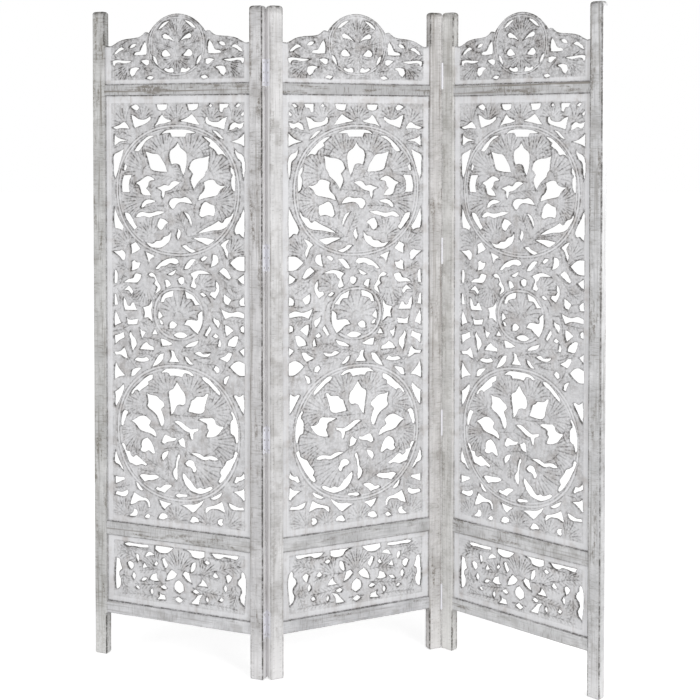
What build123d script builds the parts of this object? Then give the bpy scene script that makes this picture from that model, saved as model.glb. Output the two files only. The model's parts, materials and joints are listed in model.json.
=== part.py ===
from build123d import *
import os
from math import atan2, cos, degrees, hypot, radians, sin

os.makedirs("parts", exist_ok=True)

# Folding screen of three carved leaves. Millimetres, +Z up, front toward -Y.
# A leaf is built flat: x runs from its left edge, y = 0 is the middle of its thickness, z = 0 is the floor.

# ---- Frame of a leaf -------------------------------------------------------------------------------
LEAF_WIDTH = 533.0
LEAF_HEIGHT = 1830.0
STILE_WIDTH = 38.0
STILE_THICKNESS = 25.0
STILE_TOP_RADIUS = 8.0
STILE_FOOT_RADIUS = 5.0
RAIL_THICKNESS = 20.0
FOOT_CLEARANCE = 120.0
BOTTOM_RAIL_HEIGHT = 35.0
LOWER_BOARD_HEIGHT = 190.0
MIDDLE_RAIL_HEIGHT = 39.0
MAIN_BOARD_HEIGHT = 1208.0
TOP_RAIL_HEIGHT = 31.0
CREST_END_HEIGHT = 111.0
CREST_ARCH_HEIGHT = 83.0

# ---- Boards and the joints that hold them ----------------------------------------------------------
BOARD_THICKNESS = 9.0
GROOVE_DEPTH = 8.0
GROOVE_SIDE_CLEARANCE = 0.1
GROOVE_END_CLEARANCE = 0.25
TENON_LENGTH = 24.0
TENON_THICKNESS = 8.0

# ---- Hinges ----------------------------------------------------------------------------------------
# Neighbouring leaves keep EDGE_GAP between their edges when they stand in line, and FACE_GAP between
# their faces when they are folded together. Plates and barrels are let into the stiles.
HINGE_HEIGHTS = (150.0, 655.0, 1150.0, 1650.0)
HINGE_LENGTH = 72.0
PLATE_THICKNESS = 1.5
PLATE_WIDTH = 19.0
PLATE_GAP = 0.2
EDGE_GAP = 1.0
FACE_GAP = 1.0
SEAT_CLEARANCE = 0.1
BARREL_RADIUS = 3.0
BARREL_STANDOFF = 0.2
PIN_RADIUS = 1.5
PIN_RUNNING_CLEARANCE = 0.05
PIN_HEAD_RADIUS = 2.6
PIN_HEAD_HEIGHT = 1.6
KNUCKLES = 5
KNUCKLE_GAP = 0.3
SCREW_RADIUS = 1.5
SCREW_HEAD_RADIUS = 2.9
SCREW_LENGTH = 13.0
SCREWS_PER_PLATE = 3
SCREW_END_MARGIN = 9.0

# ---- Resting pose: turn of each leaf about the vertical, seen from above ---------------------------
LEFT_LEAF_TURN = -22.5
CENTRE_LEAF_TURN = 26.3
RIGHT_LEAF_TURN = -43.3

# ---- Sizes that follow from the ones above ---------------------------------------------------------
FIELD_WIDTH = LEAF_WIDTH - 2 * STILE_WIDTH
BOTTOM_RAIL_Z = FOOT_CLEARANCE
LOWER_BOARD_Z = BOTTOM_RAIL_Z + BOTTOM_RAIL_HEIGHT
MIDDLE_RAIL_Z = LOWER_BOARD_Z + LOWER_BOARD_HEIGHT
MAIN_BOARD_Z = MIDDLE_RAIL_Z + MIDDLE_RAIL_HEIGHT
TOP_RAIL_Z = MAIN_BOARD_Z + MAIN_BOARD_HEIGHT
CREST_Z = TOP_RAIL_Z + TOP_RAIL_HEIGHT
RAILS = {
    "bottom": (BOTTOM_RAIL_Z, BOTTOM_RAIL_HEIGHT),
    "middle": (MIDDLE_RAIL_Z, MIDDLE_RAIL_HEIGHT),
    "top": (TOP_RAIL_Z, TOP_RAIL_HEIGHT),
}
GROOVE_WIDTH = BOARD_THICKNESS + 2 * GROOVE_SIDE_CLEARANCE
BOARD_EDGE = GROOVE_DEPTH - GROOVE_END_CLEARANCE
BOARD_LEFT = STILE_WIDTH - BOARD_EDGE
BOARD_RIGHT = LEAF_WIDTH - BOARD_LEFT
AXIS_OUT = EDGE_GAP / 2
AXIS_PROUD = (STILE_THICKNESS + FACE_GAP) / 2
PLATE_FACE = PLATE_GAP / 2
PLATE_START = BARREL_RADIUS + BARREL_STANDOFF
SCREW_Y = PLATE_START + PLATE_WIDTH / 2
TURNS = {"left": LEFT_LEAF_TURN, "centre": CENTRE_LEAF_TURN, "right": RIGHT_LEAF_TURN}

# ---- The carved pattern ----------------------------------------------------------------------------
# Each opening is a closed outline through a few points (x, z), drawn in millimetres on a leaf whose
# floor is z = 0 and whose middle is x = DRAWN_MIDDLE. board_point() fits the drawing to the real board.
DRAWN_MIDDLE = 268.5
DRAWN_WIDTH = 457.0
DRAWN_MAIN = (384.0, 1592.0)
DRAWN_CREST = (1623.0, 1734.0)
DRAWN_LOWER = (155.0, 347.0)
CORNER_TURN = 62.0
SHARPEST_BISECTOR = 0.3

# How far the openings are cut back all round from their drawn outlines.
MEDALLION_CUT_BACK = 1.2
SCROLL_CUT_BACK = 1.7

# Openings inside the upper medallion, between its flowers, leaves and stems.
UPPER_MEDALLION_OPENINGS = [
    # against the ring, clockwise from the top
    [(215, 1484), (232, 1493), (268, 1496), (305, 1494), (328, 1486), (313, 1488), (298, 1488),
     (293, 1478), (250, 1478), (246, 1489), (230, 1488)],
    [(350, 1477), (363, 1474), (377, 1467), (392, 1455), (406, 1441), (417, 1428), (425, 1415),
     (408, 1431), (396, 1429), (386, 1441), (367, 1453), (372, 1460)],
    [(433, 1396), (441, 1388), (447, 1370), (448, 1345), (447, 1327), (440, 1333), (436, 1350),
     (436, 1362), (440, 1371), (434, 1384)],
    [(444, 1279), (440, 1260), (431, 1245), (418, 1230), (400, 1223), (376, 1221), (350, 1215),
     (331, 1212), (352, 1222), (379, 1235), (397, 1246), (408, 1239), (418, 1252), (432, 1258)],
    [(165, 1183), (180, 1171), (197, 1168), (214, 1169), (230, 1177), (243, 1190), (248, 1214),
     (238, 1201), (224, 1196), (216, 1187), (200, 1184), (190, 1177), (178, 1178)],
    [(98, 1262), (112, 1260), (123, 1247), (130, 1234), (139, 1223), (129, 1216), (116, 1231), (103, 1248)],
    [(96, 1367), (122, 1369), (114, 1353), (112, 1338), (115, 1321), (91, 1322), (90, 1340), (92, 1355)],
    [(99, 1402), (107, 1393), (101, 1380), (96, 1384)],
    [(196, 1479), (178, 1478), (160, 1467), (144, 1453), (131, 1438), (143, 1437), (155, 1448),
     (163, 1460), (176, 1471)],
    # almond-shaped openings between the flowers
    [(167, 1436), (187, 1429), (208, 1426), (220, 1412), (230, 1397), (236, 1380), (205, 1382),
     (184, 1388), (178, 1404), (173, 1420)],
    [(270, 1462), (278, 1447), (296, 1431), (297, 1405), (293, 1385), (288, 1370), (281, 1383),
     (274, 1400), (262, 1404), (250, 1400), (245, 1415), (246, 1436), (262, 1449)],
    [(368, 1424), (350, 1418), (328, 1415), (313, 1407), (305, 1389), (318, 1375), (311, 1358),
     (320, 1331), (329, 1347), (340, 1359), (352, 1369), (357, 1381), (363, 1390), (365, 1408)],
    [(351, 1351), (366, 1357), (383, 1357), (391, 1348), (403, 1342), (418, 1342), (403, 1333),
     (393, 1319), (375, 1314), (352, 1309), (333, 1302), (338, 1314), (350, 1326), (354, 1338)],
    [(357, 1297), (372, 1291), (384, 1287), (385, 1270), (381, 1260), (364, 1263), (343, 1257),
     (337, 1262), (341, 1278), (348, 1292)],
    [(135, 1347), (150, 1353), (160, 1360), (174, 1366), (186, 1363), (197, 1357), (178, 1352),
     (175, 1341), (168, 1332), (177, 1324), (184, 1313), (155, 1318), (150, 1331), (146, 1341)],
    # narrow openings between the leaves and stems
    [(203, 1334), (215, 1337), (229, 1342), (240, 1339), (250, 1350), (264, 1353), (277, 1350),
     (262, 1341), (247, 1331), (229, 1326), (226, 1312), (222, 1305), (219, 1314), (218, 1326)],
    [(242, 1291), (247, 1301), (262, 1306), (277, 1305), (295, 1309), (307, 1303), (316, 1292),
     (298, 1295), (278, 1297), (266, 1291), (257, 1279), (250, 1278)],
    [(152, 1280), (158, 1291), (170, 1299), (185, 1300), (200, 1297), (184, 1293), (170, 1289), (160, 1281)],
    [(134, 1252), (143, 1261), (155, 1265), (172, 1262), (188, 1263), (205, 1268), (229, 1268),
     (210, 1261), (193, 1257), (178, 1252), (158, 1256), (145, 1252)],
    [(213, 1249), (226, 1246), (238, 1238), (228, 1232), (222, 1222), (215, 1217), (205, 1226), (208, 1240)],
    [(270, 1223), (278, 1213), (277, 1203), (270, 1190), (266, 1201), (269, 1212)],
    [(289, 1268), (300, 1264), (309, 1253), (313, 1238), (311, 1228), (306, 1243), (298, 1257)],
    [(316, 1197), (350, 1198), (385, 1194), (374, 1187), (362, 1181), (345, 1187)],
    [(282, 1174), (295, 1176), (305, 1169), (327, 1162), (312, 1158), (299, 1163)],
]

# Openings of the top strip and of the corners beside the upper medallion.
HEAD_OPENINGS = [
    [(120, 1561), (138, 1566), (147, 1558), (141, 1552), (131, 1554)],
    [(203, 1566), (237, 1566), (234, 1555), (222, 1551), (208, 1554)],
    [(300, 1566), (335, 1567), (331, 1556), (319, 1551), (305, 1551)],
    [(368, 1562), (373, 1568), (378, 1562), (372, 1558)],
    [(400, 1566), (428, 1566), (424, 1558), (414, 1556), (409, 1545), (401, 1546)],
    [(450, 1560), (458, 1567), (465, 1564), (456, 1557)],
    [(465, 1537), (474, 1546), (475, 1537), (468, 1533)],
    [(61, 1503), (80, 1508), (98, 1517), (107, 1511), (115, 1500), (88, 1502), (70, 1500)],
    [(121, 1538), (131, 1534), (146, 1525), (165, 1524), (182, 1534), (184, 1526), (172, 1517),
     (152, 1509), (132, 1502), (127, 1516)],
    [(221, 1539), (229, 1528), (252, 1521), (232, 1516), (212, 1513), (195, 1505), (207, 1520), (214, 1532)],
    [(314, 1539), (323, 1530), (331, 1519), (339, 1510), (322, 1513), (300, 1518), (276, 1521),
     (292, 1525), (304, 1532)],
    [(357, 1529), (363, 1531), (368, 1521), (396, 1517), (408, 1525), (424, 1531), (418, 1515),
     (414, 1497), (397, 1503), (376, 1508), (358, 1517)],
    [(430, 1496), (434, 1508), (446, 1515), (460, 1511), (474, 1516), (470, 1504), (461, 1500),
     (452, 1504), (441, 1498)],
    [(66, 1484), (76, 1474), (110, 1466), (84, 1464), (72, 1456), (65, 1452)],
    [(437, 1464), (455, 1469), (467, 1477), (476, 1487), (476, 1451), (460, 1459)],
    [(378, 1494), (390, 1491), (402, 1481), (414, 1469), (400, 1476), (388, 1486)],
    [(97, 1443), (91, 1425), (83, 1402), (76, 1378), (68, 1358), (64, 1372), (63, 1400), (64, 1424),
     (82, 1434)],
    [(447, 1446), (454, 1434), (468, 1428), (475, 1417), (477, 1385), (474, 1360), (470, 1380),
     (466, 1410), (455, 1420), (449, 1432)],
    [(66, 1282), (71, 1262), (80, 1244), (95, 1222), (90, 1213), (79, 1218), (67, 1219), (64, 1240)],
    [(475, 1285), (476, 1240), (474, 1202), (467, 1208), (460, 1214), (450, 1211), (446, 1221),
     (452, 1238), (463, 1257)],
]

# Openings inside the lower medallion.
LOWER_MEDALLION_OPENINGS = [
    # against the ring, clockwise from the top left
    [(188, 810), (174, 805), (158, 794), (144, 781), (132, 770), (122, 760), (116, 751), (121, 752),
     (131, 764), (137, 765), (143, 760), (152, 768), (163, 775), (174, 783), (172, 790), (186, 800)],
    [(214, 817), (226, 825), (238, 829), (255, 830), (275, 830), (296, 828), (308, 824), (318, 815),
     (312, 815), (301, 820), (288, 821), (281, 811), (268, 812), (256, 813), (242, 811), (238, 818),
     (228, 820)],
    [(343, 812), (355, 813), (367, 807), (380, 796), (392, 784), (401, 773), (398, 766), (386, 776),
     (373, 787), (362, 797), (351, 803)],
    [(436, 727), (443, 717), (451, 699), (455, 680), (456, 660), (453, 641), (449, 638), (447, 650),
     (443, 659), (434, 664), (432, 680), (432, 692), (436, 700), (440, 705), (438, 714), (434, 721)],
    [(446, 617), (454, 613), (449, 599), (441, 583), (431, 564), (419, 546), (408, 532), (398, 525),
     (395, 528), (399, 537), (404, 543), (400, 552), (403, 560), (412, 571), (421, 586), (431, 591),
     (441, 599), (444, 610)],
    [(283, 541), (282, 532), (285, 521), (294, 506), (306, 496), (322, 491), (338, 489), (354, 495),
     (370, 503), (377, 509), (372, 511), (361, 507), (350, 502), (338, 505), (328, 501), (317, 509),
     (308, 520), (296, 530), (289, 538)],
    [(259, 474), (265, 479), (280, 481), (297, 481), (294, 477), (280, 475), (267, 472)],
    [(196, 488), (201, 493), (212, 492), (220, 498), (231, 503), (249, 503), (240, 496), (231, 489),
     (224, 480), (212, 484), (203, 485)],
    [(85, 606), (92, 608), (98, 600), (97, 591), (104, 587), (113, 587), (115, 577), (124, 571),
     (133, 577), (143, 572), (155, 563), (168, 556), (163, 551), (149, 555), (140, 552), (131, 550),
     (119, 554), (110, 556), (105, 566), (100, 578), (94, 590)],
    [(90, 696), (96, 702), (108, 699), (102, 692), (99, 683), (93, 669), (90, 661), (84, 659),
     (84, 669), (86, 683)],
    # large openings between the flowers and leaves
    [(168, 756), (178, 752), (201, 749), (211, 741), (222, 733), (224, 726), (219, 721), (213, 715),
     (217, 706), (222, 692), (223, 680), (219, 670), (213, 668), (209, 677), (205, 688), (198, 699),
     (187, 708), (175, 715), (170, 721), (173, 730), (172, 742)],
    [(265, 795), (259, 783), (252, 773), (240, 765), (240, 752), (243, 734), (245, 717), (246, 702),
     (252, 708), (259, 720), (265, 730), (273, 733), (282, 732), (290, 738), (292, 750), (288, 764),
     (280, 773), (273, 783)],
    [(364, 768), (357, 766), (350, 759), (338, 757), (326, 756), (320, 749), (311, 744), (308, 734),
     (303, 722), (300, 715), (312, 714), (328, 712), (342, 714), (350, 721), (352, 732), (356, 746),
     (360, 758)],
    [(333, 695), (345, 698), (364, 700), (378, 701), (383, 696), (387, 687), (398, 681), (411, 681),
     (403, 671), (395, 661), (384, 654), (368, 649), (357, 648), (360, 657), (364, 666), (360, 674),
     (360, 681), (356, 687), (347, 690)],
    [(119, 674), (131, 680), (140, 686), (150, 690), (164, 690), (173, 685), (181, 679), (178, 673),
     (175, 667), (180, 660), (189, 656), (196, 647), (199, 636), (192, 638), (182, 643), (171, 646),
     (154, 649), (143, 654), (136, 662), (129, 669)],
    [(170, 630), (155, 622), (150, 610), (151, 602), (146, 594), (155, 590), (164, 592), (172, 596),
     (180, 592), (187, 588), (194, 590), (191, 600), (186, 612), (180, 622)],
    # narrow openings between the leaves and stems
    [(256, 682), (266, 685), (278, 683), (289, 676), (301, 669), (310, 665), (322, 667), (333, 670),
     (331, 665), (320, 660), (315, 650), (315, 640), (310, 637), (306, 648), (304, 657), (292, 660),
     (280, 667), (269, 675)],
    [(216, 622), (220, 633), (227, 642), (240, 640), (250, 636), (262, 638), (260, 633), (247, 628),
     (233, 625), (222, 619)],
    [(268, 631), (275, 633), (282, 640), (287, 636), (289, 626), (291, 613), (284, 615), (275, 619),
     (271, 625)],
    [(308, 598), (326, 600), (338, 598), (350, 592), (362, 594), (374, 596), (385, 594), (394, 588),
     (380, 586), (366, 588), (352, 584), (338, 587), (324, 593)],
    [(291, 568), (298, 576), (308, 579), (317, 575), (320, 566), (325, 557), (320, 548), (315, 548),
     (312, 556), (305, 561), (296, 563)],
    [(267, 588), (271, 594), (274, 587), (269, 577), (267, 564), (265, 550), (266, 530), (264, 518),
     (257, 524), (252, 536), (254, 546), (260, 554), (261, 565), (264, 577)],
    [(217, 586), (224, 593), (238, 599), (232, 586), (224, 576), (219, 570), (216, 578)],
    [(144, 520), (150, 524), (178, 525), (200, 526), (207, 523), (198, 518), (184, 513), (170, 511),
     (158, 506), (152, 512)],
]

# Openings of the foot strip and of the corners beside the lower medallion.
FOOT_OPENINGS = [
    # corners, from the top down
    [(93, 777), (94, 768), (90, 755), (82, 738), (73, 722), (67, 712), (65, 720), (66, 741), (64, 752),
     (75, 759), (85, 769)],
    [(442, 768), (450, 770), (459, 766), (472, 775), (473, 755), (473, 719), (466, 729), (456, 746),
     (449, 758)],
    [(66, 588), (69, 577), (74, 565), (82, 550), (90, 536), (92, 530), (84, 537), (77, 546), (64, 552),
     (63, 571)],
    [(443, 530), (447, 539), (451, 546), (461, 546), (469, 552), (472, 562), (475, 546), (466, 540),
     (456, 536), (449, 530)],
    [(64, 512), (80, 510), (94, 511), (95, 506), (84, 502), (75, 497), (64, 492)],
    [(440, 504), (452, 506), (464, 509), (473, 518), (475, 486), (470, 483), (465, 490), (456, 496),
     (449, 501)],
    [(131, 502), (138, 499), (146, 490), (155, 482), (148, 480), (138, 486)],
    [(370, 478), (382, 484), (394, 491), (406, 498), (401, 490), (389, 481), (378, 477)],
    # foot strip, upper row
    [(64, 460), (68, 467), (85, 468), (96, 471), (103, 477), (106, 471), (101, 462), (89, 457), (75, 459)],
    [(113, 436), (116, 448), (121, 460), (126, 472), (138, 465), (154, 459), (168, 457), (175, 450),
     (177, 436), (172, 434), (169, 446), (162, 452), (148, 451), (138, 449), (128, 442)],
    [(205, 460), (219, 455), (246, 452), (234, 445), (224, 434), (217, 440), (211, 449)],
    [(278, 450), (300, 454), (324, 457), (338, 464), (352, 474), (340, 459), (329, 448), (322, 440),
     (312, 434), (303, 440), (291, 447)],
    [(354, 437), (355, 448), (364, 454), (378, 458), (394, 465), (405, 473), (410, 460), (415, 444),
     (405, 448), (394, 452), (381, 452), (369, 450), (361, 443)],
    [(424, 473), (431, 470), (443, 466), (457, 462), (470, 464), (473, 457), (454, 456), (443, 455),
     (431, 459)],
    # foot strip, lower row
    [(107, 403), (117, 409), (123, 416), (124, 424), (133, 423), (136, 415), (134, 409), (126, 405)],
    [(159, 404), (165, 410), (171, 414), (177, 411), (175, 406), (168, 403)],
    [(204, 406), (208, 413), (215, 420), (224, 421), (233, 417), (233, 411), (226, 409), (219, 405)],
    [(304, 407), (309, 414), (314, 421), (326, 420), (332, 414), (332, 409), (321, 409), (312, 406)],
    [(391, 413), (394, 420), (401, 424), (408, 425), (404, 418), (408, 413), (404, 407), (397, 408)],
]

# Openings of the scrolls between the two large medallions, and inside the small one.
SCROLL_OPENINGS = [
    # upper rows, left to right
    [(119, 1172), (134, 1180), (149, 1163), (136, 1156), (120, 1148), (122, 1160)],
    [(62, 1152), (78, 1152), (90, 1155), (99, 1147), (98, 1132), (92, 1130), (80, 1141)],
    [(166, 1154), (178, 1149), (196, 1143), (182, 1137), (176, 1121), (173, 1138)],
    [(197, 1108), (212, 1122), (228, 1132), (245, 1137), (266, 1136), (272, 1129), (262, 1125),
     (244, 1127), (231, 1120), (216, 1117), (206, 1109)],
    [(289, 1111), (298, 1125), (312, 1137), (325, 1138), (313, 1125), (302, 1114)],
    [(341, 1139), (350, 1146), (362, 1147), (354, 1140), (346, 1135)],
    [(379, 1153), (392, 1149), (395, 1136), (387, 1127), (372, 1120), (377, 1133)],
    [(431, 1197), (418, 1191), (403, 1180), (412, 1172), (419, 1155), (423, 1144), (425, 1160),
     (418, 1178), (422, 1188)],
    [(432, 1132), (443, 1141), (455, 1148), (476, 1150), (476, 1113), (455, 1115)],
    [(122, 1124), (130, 1129), (136, 1123), (149, 1123), (142, 1110), (120, 1101), (123, 1113)],
    [(238, 1094), (249, 1099), (264, 1108), (257, 1098), (248, 1093)],
    [(308, 1097), (325, 1104), (345, 1107), (372, 1099), (350, 1101), (334, 1099), (328, 1090),
     (321, 1083), (322, 1074), (327, 1065), (322, 1059), (309, 1063), (314, 1075), (317, 1087)],
    [(399, 1108), (411, 1118), (421, 1112), (434, 1092), (428, 1090), (413, 1098)],
    [(456, 1089), (474, 1101), (475, 1076), (464, 1081)],
    [(65, 1098), (71, 1098), (74, 1087), (72, 1064), (64, 1063)],
    [(96, 1066), (110, 1074), (124, 1077), (133, 1090), (152, 1089), (147, 1078), (140, 1070), (118, 1068)],
    [(175, 1091), (186, 1095), (197, 1087), (202, 1074), (211, 1062), (213, 1052), (204, 1044),
     (196, 1037), (202, 1049), (205, 1057), (194, 1066), (198, 1076), (192, 1086), (181, 1087)],
    [(228, 1077), (237, 1077), (247, 1065), (232, 1057)],
    [(270, 1082), (281, 1087), (288, 1085), (287, 1073), (279, 1068), (272, 1074)],
    [(389, 1081), (396, 1070), (397, 1056), (391, 1043), (384, 1033), (370, 1043), (372, 1049),
     (385, 1049), (390, 1060), (388, 1070)],
    [(339, 1044), (346, 1047), (357, 1040), (348, 1038)],
    [(413, 1046), (424, 1038), (434, 1032), (426, 1018), (416, 1022), (412, 1034)],
    [(474, 1040), (475, 1018), (462, 1018), (461, 1029)],
    [(95, 1044), (111, 1056), (118, 1049), (125, 1041), (119, 1034), (110, 1045)],
    [(64, 1030), (69, 1030), (72, 1014), (75, 1003), (64, 1001)],
    [(94, 1024), (101, 1014), (107, 1000), (115, 998), (121, 1007), (127, 1009), (137, 990),
     (118, 990), (98, 989), (94, 1005)],
    [(184, 1018), (178, 1004), (157, 997), (163, 985), (160, 969), (171, 972), (179, 967),
     (188, 958), (185, 973), (183, 992), (186, 1008)],
    # inside the small medallion
    [(214, 1016), (222, 1033), (238, 1043), (255, 1048), (252, 1034), (237, 1031), (227, 1026), (224, 1017)],
    [(291, 1049), (300, 1044), (316, 1037), (325, 1026), (337, 1014), (322, 1013), (318, 1023),
     (312, 1029), (296, 1030)],
    [(345, 996), (346, 975), (341, 953), (330, 933), (317, 943), (304, 954), (289, 956),
     (299, 967), (331, 968), (334, 987)],
    [(208, 991), (220, 977), (212, 972), (205, 968), (206, 980)],
    [(209, 964), (217, 962), (222, 954), (214, 955)],
    [(241, 944), (244, 957), (253, 962), (266, 955), (256, 946)],
    [(254, 925), (266, 930), (286, 932), (299, 926), (285, 920), (267, 920)],
    # lower rows, left to right
    [(102, 969), (111, 960), (141, 964), (137, 951), (108, 948)],
    [(67, 985), (76, 967), (84, 951), (70, 946), (65, 940), (64, 962)],
    [(379, 983), (387, 975), (397, 971), (398, 961), (394, 953), (386, 963), (381, 972)],
    [(403, 1005), (416, 998), (436, 994), (457, 999), (474, 994), (473, 984), (452, 987),
     (434, 987), (416, 979), (410, 990)],
    [(354, 930), (361, 943), (368, 956), (372, 948), (366, 938), (359, 928)],
    [(416, 960), (424, 959), (441, 948), (420, 931), (417, 945)],
    [(464, 956), (473, 962), (474, 944), (464, 947)],
    [(64, 912), (80, 917), (93, 924), (96, 911), (80, 903), (66, 890)],
    [(117, 928), (122, 916), (131, 907), (135, 893), (127, 881), (123, 872), (119, 888), (117, 905),
     (113, 917)],
    [(147, 945), (153, 931), (166, 929), (153, 911), (151, 922)],
    [(195, 939), (204, 925), (186, 924)],
    [(213, 912), (226, 910), (252, 900), (233, 896), (218, 894)],
    [(334, 914), (325, 903), (308, 897), (290, 893), (304, 902), (320, 908)],
    [(379, 928), (386, 936), (395, 930), (388, 925)],
    [(398, 922), (402, 914), (402, 901), (394, 902), (397, 913)],
    [(424, 906), (427, 916), (436, 925), (446, 931), (456, 932), (452, 917), (446, 906)],
    [(147, 880), (157, 892), (168, 900), (177, 892), (190, 887), (191, 880)],
    [(63, 866), (82, 868), (95, 881), (101, 868), (106, 850), (92, 856), (84, 861), (66, 860)],
    [(322, 878), (336, 882), (347, 876), (372, 881), (362, 873), (340, 872)],
    [(400, 868), (416, 875), (425, 883), (437, 885), (429, 869), (421, 861)],
    [(461, 892), (475, 901), (474, 879)],
    [(129, 848), (137, 853), (158, 853), (168, 857), (176, 851), (158, 846), (140, 846)],
    [(223, 871), (219, 856), (206, 843), (186, 833), (198, 851), (211, 867)],
    [(245, 881), (255, 878), (260, 866), (273, 851), (240, 850), (248, 861), (249, 872)],
    [(290, 867), (299, 864), (306, 855), (317, 847), (305, 848), (295, 856)],
    [(381, 838), (387, 847), (396, 841), (398, 832), (389, 829)],
    [(431, 847), (445, 858), (459, 863), (475, 858), (475, 827), (459, 827), (444, 836)],
    [(67, 839), (76, 822), (97, 802), (78, 799), (64, 790), (64, 812)],
    [(117, 802), (122, 817), (134, 823), (151, 827), (137, 815), (127, 805)],
    [(411, 801), (414, 813), (429, 823), (422, 811), (418, 799)],
]

# Openings of the crest, right of its middle: x is the distance from the middle. Each has a mirror image.
CREST_HALF_OPENINGS = [
    [(8, 1740), (20, 1751), (31, 1758), (39, 1761), (46, 1757), (42, 1751), (25, 1748)],
    [(19, 1702), (28, 1711), (36, 1717), (45, 1713), (48, 1706), (44, 1701), (34, 1700)],
    [(10, 1656), (12, 1664), (19, 1667), (28, 1663), (36, 1668), (42, 1664), (34, 1659), (23, 1656)],
    [(22, 1799), (38, 1793), (51, 1784), (60, 1774), (47, 1780), (35, 1789)],
    [(77, 1702), (73, 1688), (60, 1673), (63, 1686), (70, 1698)],
    [(102, 1742), (98, 1733), (97, 1711), (98, 1707), (119, 1706), (137, 1707), (134, 1711), (119, 1715),
     (115, 1721), (109, 1732)],
    [(115, 1689), (100, 1691), (89, 1689), (89, 1680), (96, 1677), (107, 1683)],
    [(204, 1708), (196, 1717), (179, 1727), (169, 1723), (184, 1718), (194, 1711)],
    [(152, 1727), (143, 1735), (130, 1736), (134, 1731), (143, 1727)],
    [(208, 1689), (198, 1691), (169, 1689), (140, 1687), (165, 1684), (196, 1685), (201, 1676), (206, 1681)],
    [(149, 1667), (135, 1670), (118, 1668), (129, 1662), (135, 1652), (145, 1645), (151, 1656)],
    [(98, 1640), (88, 1645), (74, 1643), (80, 1638)],
]

# Top edge of the crest, right of its middle: (distance from the middle, z).
CREST_TOP = [(0, 1816), (23, 1813), (45, 1805), (62, 1794), (78, 1779), (89, 1765), (100, 1768), (108, 1762),
             (118, 1756), (133, 1753), (165, 1750), (185, 1745), (200, 1737), (212, 1732), (228.5, 1734)]

# Openings of the lower board.
LOWER_OPENINGS = [
    # along the top edge
    [(93, 323), (108, 327), (128, 326), (170, 327), (172, 322), (150, 320), (120, 321), (104, 320)],
    [(195, 329), (251, 329), (239, 319), (229, 313), (208, 312), (194, 319)],
    [(288, 329), (350, 329), (349, 316), (332, 310), (312, 313), (304, 324)],
    [(371, 327), (400, 328), (430, 328), (456, 330), (450, 322), (425, 323), (408, 323), (398, 317),
     (382, 319)],
    # tall slots at both ends
    [(67, 280), (77, 277), (80, 262), (85, 251), (76, 243), (74, 233), (79, 221), (80, 208),
     (75, 196), (66, 190), (64, 215), (65, 245)],
    [(469, 287), (474, 280), (474, 192), (464, 203), (461, 216), (466, 229), (464, 241), (455, 252),
     (457, 262), (464, 270), (465, 281)],
    # between the leaves, left to right
    [(104, 269), (112, 274), (122, 270), (122, 262), (114, 252), (108, 260)],
    [(124, 245), (129, 236), (124, 223), (119, 233)],
    [(131, 299), (138, 296), (140, 285), (137, 277), (133, 287)],
    [(152, 260), (157, 276), (167, 265)],
    [(160, 293), (168, 304), (177, 308), (191, 302), (182, 302), (172, 299)],
    [(190, 274), (197, 285), (202, 280), (195, 272)],
    [(176, 231), (184, 243), (198, 250), (199, 236), (206, 231), (190, 229)],
    [(147, 223), (155, 231), (167, 234), (158, 226)],
    [(216, 292), (223, 296), (230, 284), (234, 278), (226, 268), (220, 280)],
    [(228, 234), (234, 250), (247, 266), (263, 257), (255, 247), (243, 240)],
    [(282, 257), (289, 266), (301, 263), (304, 250), (311, 236), (298, 242), (288, 250)],
    [(308, 277), (313, 291), (322, 296), (321, 283), (312, 270), (306, 267)],
    [(270, 239), (282, 227), (284, 213), (270, 203), (256, 213), (257, 228)],
    [(257, 183), (268, 191), (281, 184), (269, 177)],
    [(205, 198), (213, 191), (223, 190), (227, 179), (198, 176), (208, 185)],
    [(307, 178), (320, 190), (330, 202), (345, 209), (334, 195), (332, 179)],
    [(343, 252), (352, 243), (360, 232), (330, 232), (340, 240)],
    [(376, 264), (383, 275), (392, 266), (386, 261)],
    [(417, 268), (425, 275), (435, 269), (430, 260), (422, 250)],
    [(415, 245), (419, 235), (416, 223), (411, 233)],
    [(313, 213), (322, 219), (333, 214), (322, 209)],
    [(210, 213), (222, 219), (231, 213), (222, 209)],
    [(396, 198), (402, 207), (409, 203), (403, 197)],
    [(358, 204), (362, 195), (360, 187), (355, 195)],
    [(130, 203), (137, 207), (143, 201), (137, 199)],
    [(183, 206), (186, 196), (181, 188), (178, 196)],
    [(350, 300), (358, 305), (367, 301), (358, 296)],
]


def board_point(point, drawn_z, real_z, flipped):
    """Fit a drawn point to the board between the stiles; a flipped leaf shows the pattern in mirror."""
    x = (point[0] - DRAWN_MIDDLE) * FIELD_WIDTH / DRAWN_WIDTH
    if flipped:
        x = -x
    share = (point[1] - drawn_z[0]) / (drawn_z[1] - drawn_z[0])
    return (LEAF_WIDTH / 2 + x, real_z[0] + share * (real_z[1] - real_z[0]))


def unit(a, b):
    """Direction from point a to point b."""
    length = hypot(b[0] - a[0], b[1] - a[1])
    return ((b[0] - a[0]) / length, (b[1] - a[1]) / length)


def cut_back(points, amount):
    """The closed outline with each point moved outward along the bisector of its corner."""
    twice_area = sum(a[0] * b[1] - b[0] * a[1] for a, b in zip(points, points[1:] + points[:1]))
    side = 1 if twice_area > 0 else -1
    moved = []
    for before, here, after in zip(points[-1:] + points[:-1], points, points[1:] + points[:1]):
        ux, uz = unit(before, here)
        vx, vz = unit(here, after)
        nx, nz = side * (uz + vz), -side * (ux + vx)
        size = hypot(nx, nz)
        if size < SHARPEST_BISECTOR:
            nx, nz, size = side * uz, -side * ux, 1
        moved.append((here[0] + amount * nx / size, here[1] + amount * nz / size))
    return moved


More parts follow.
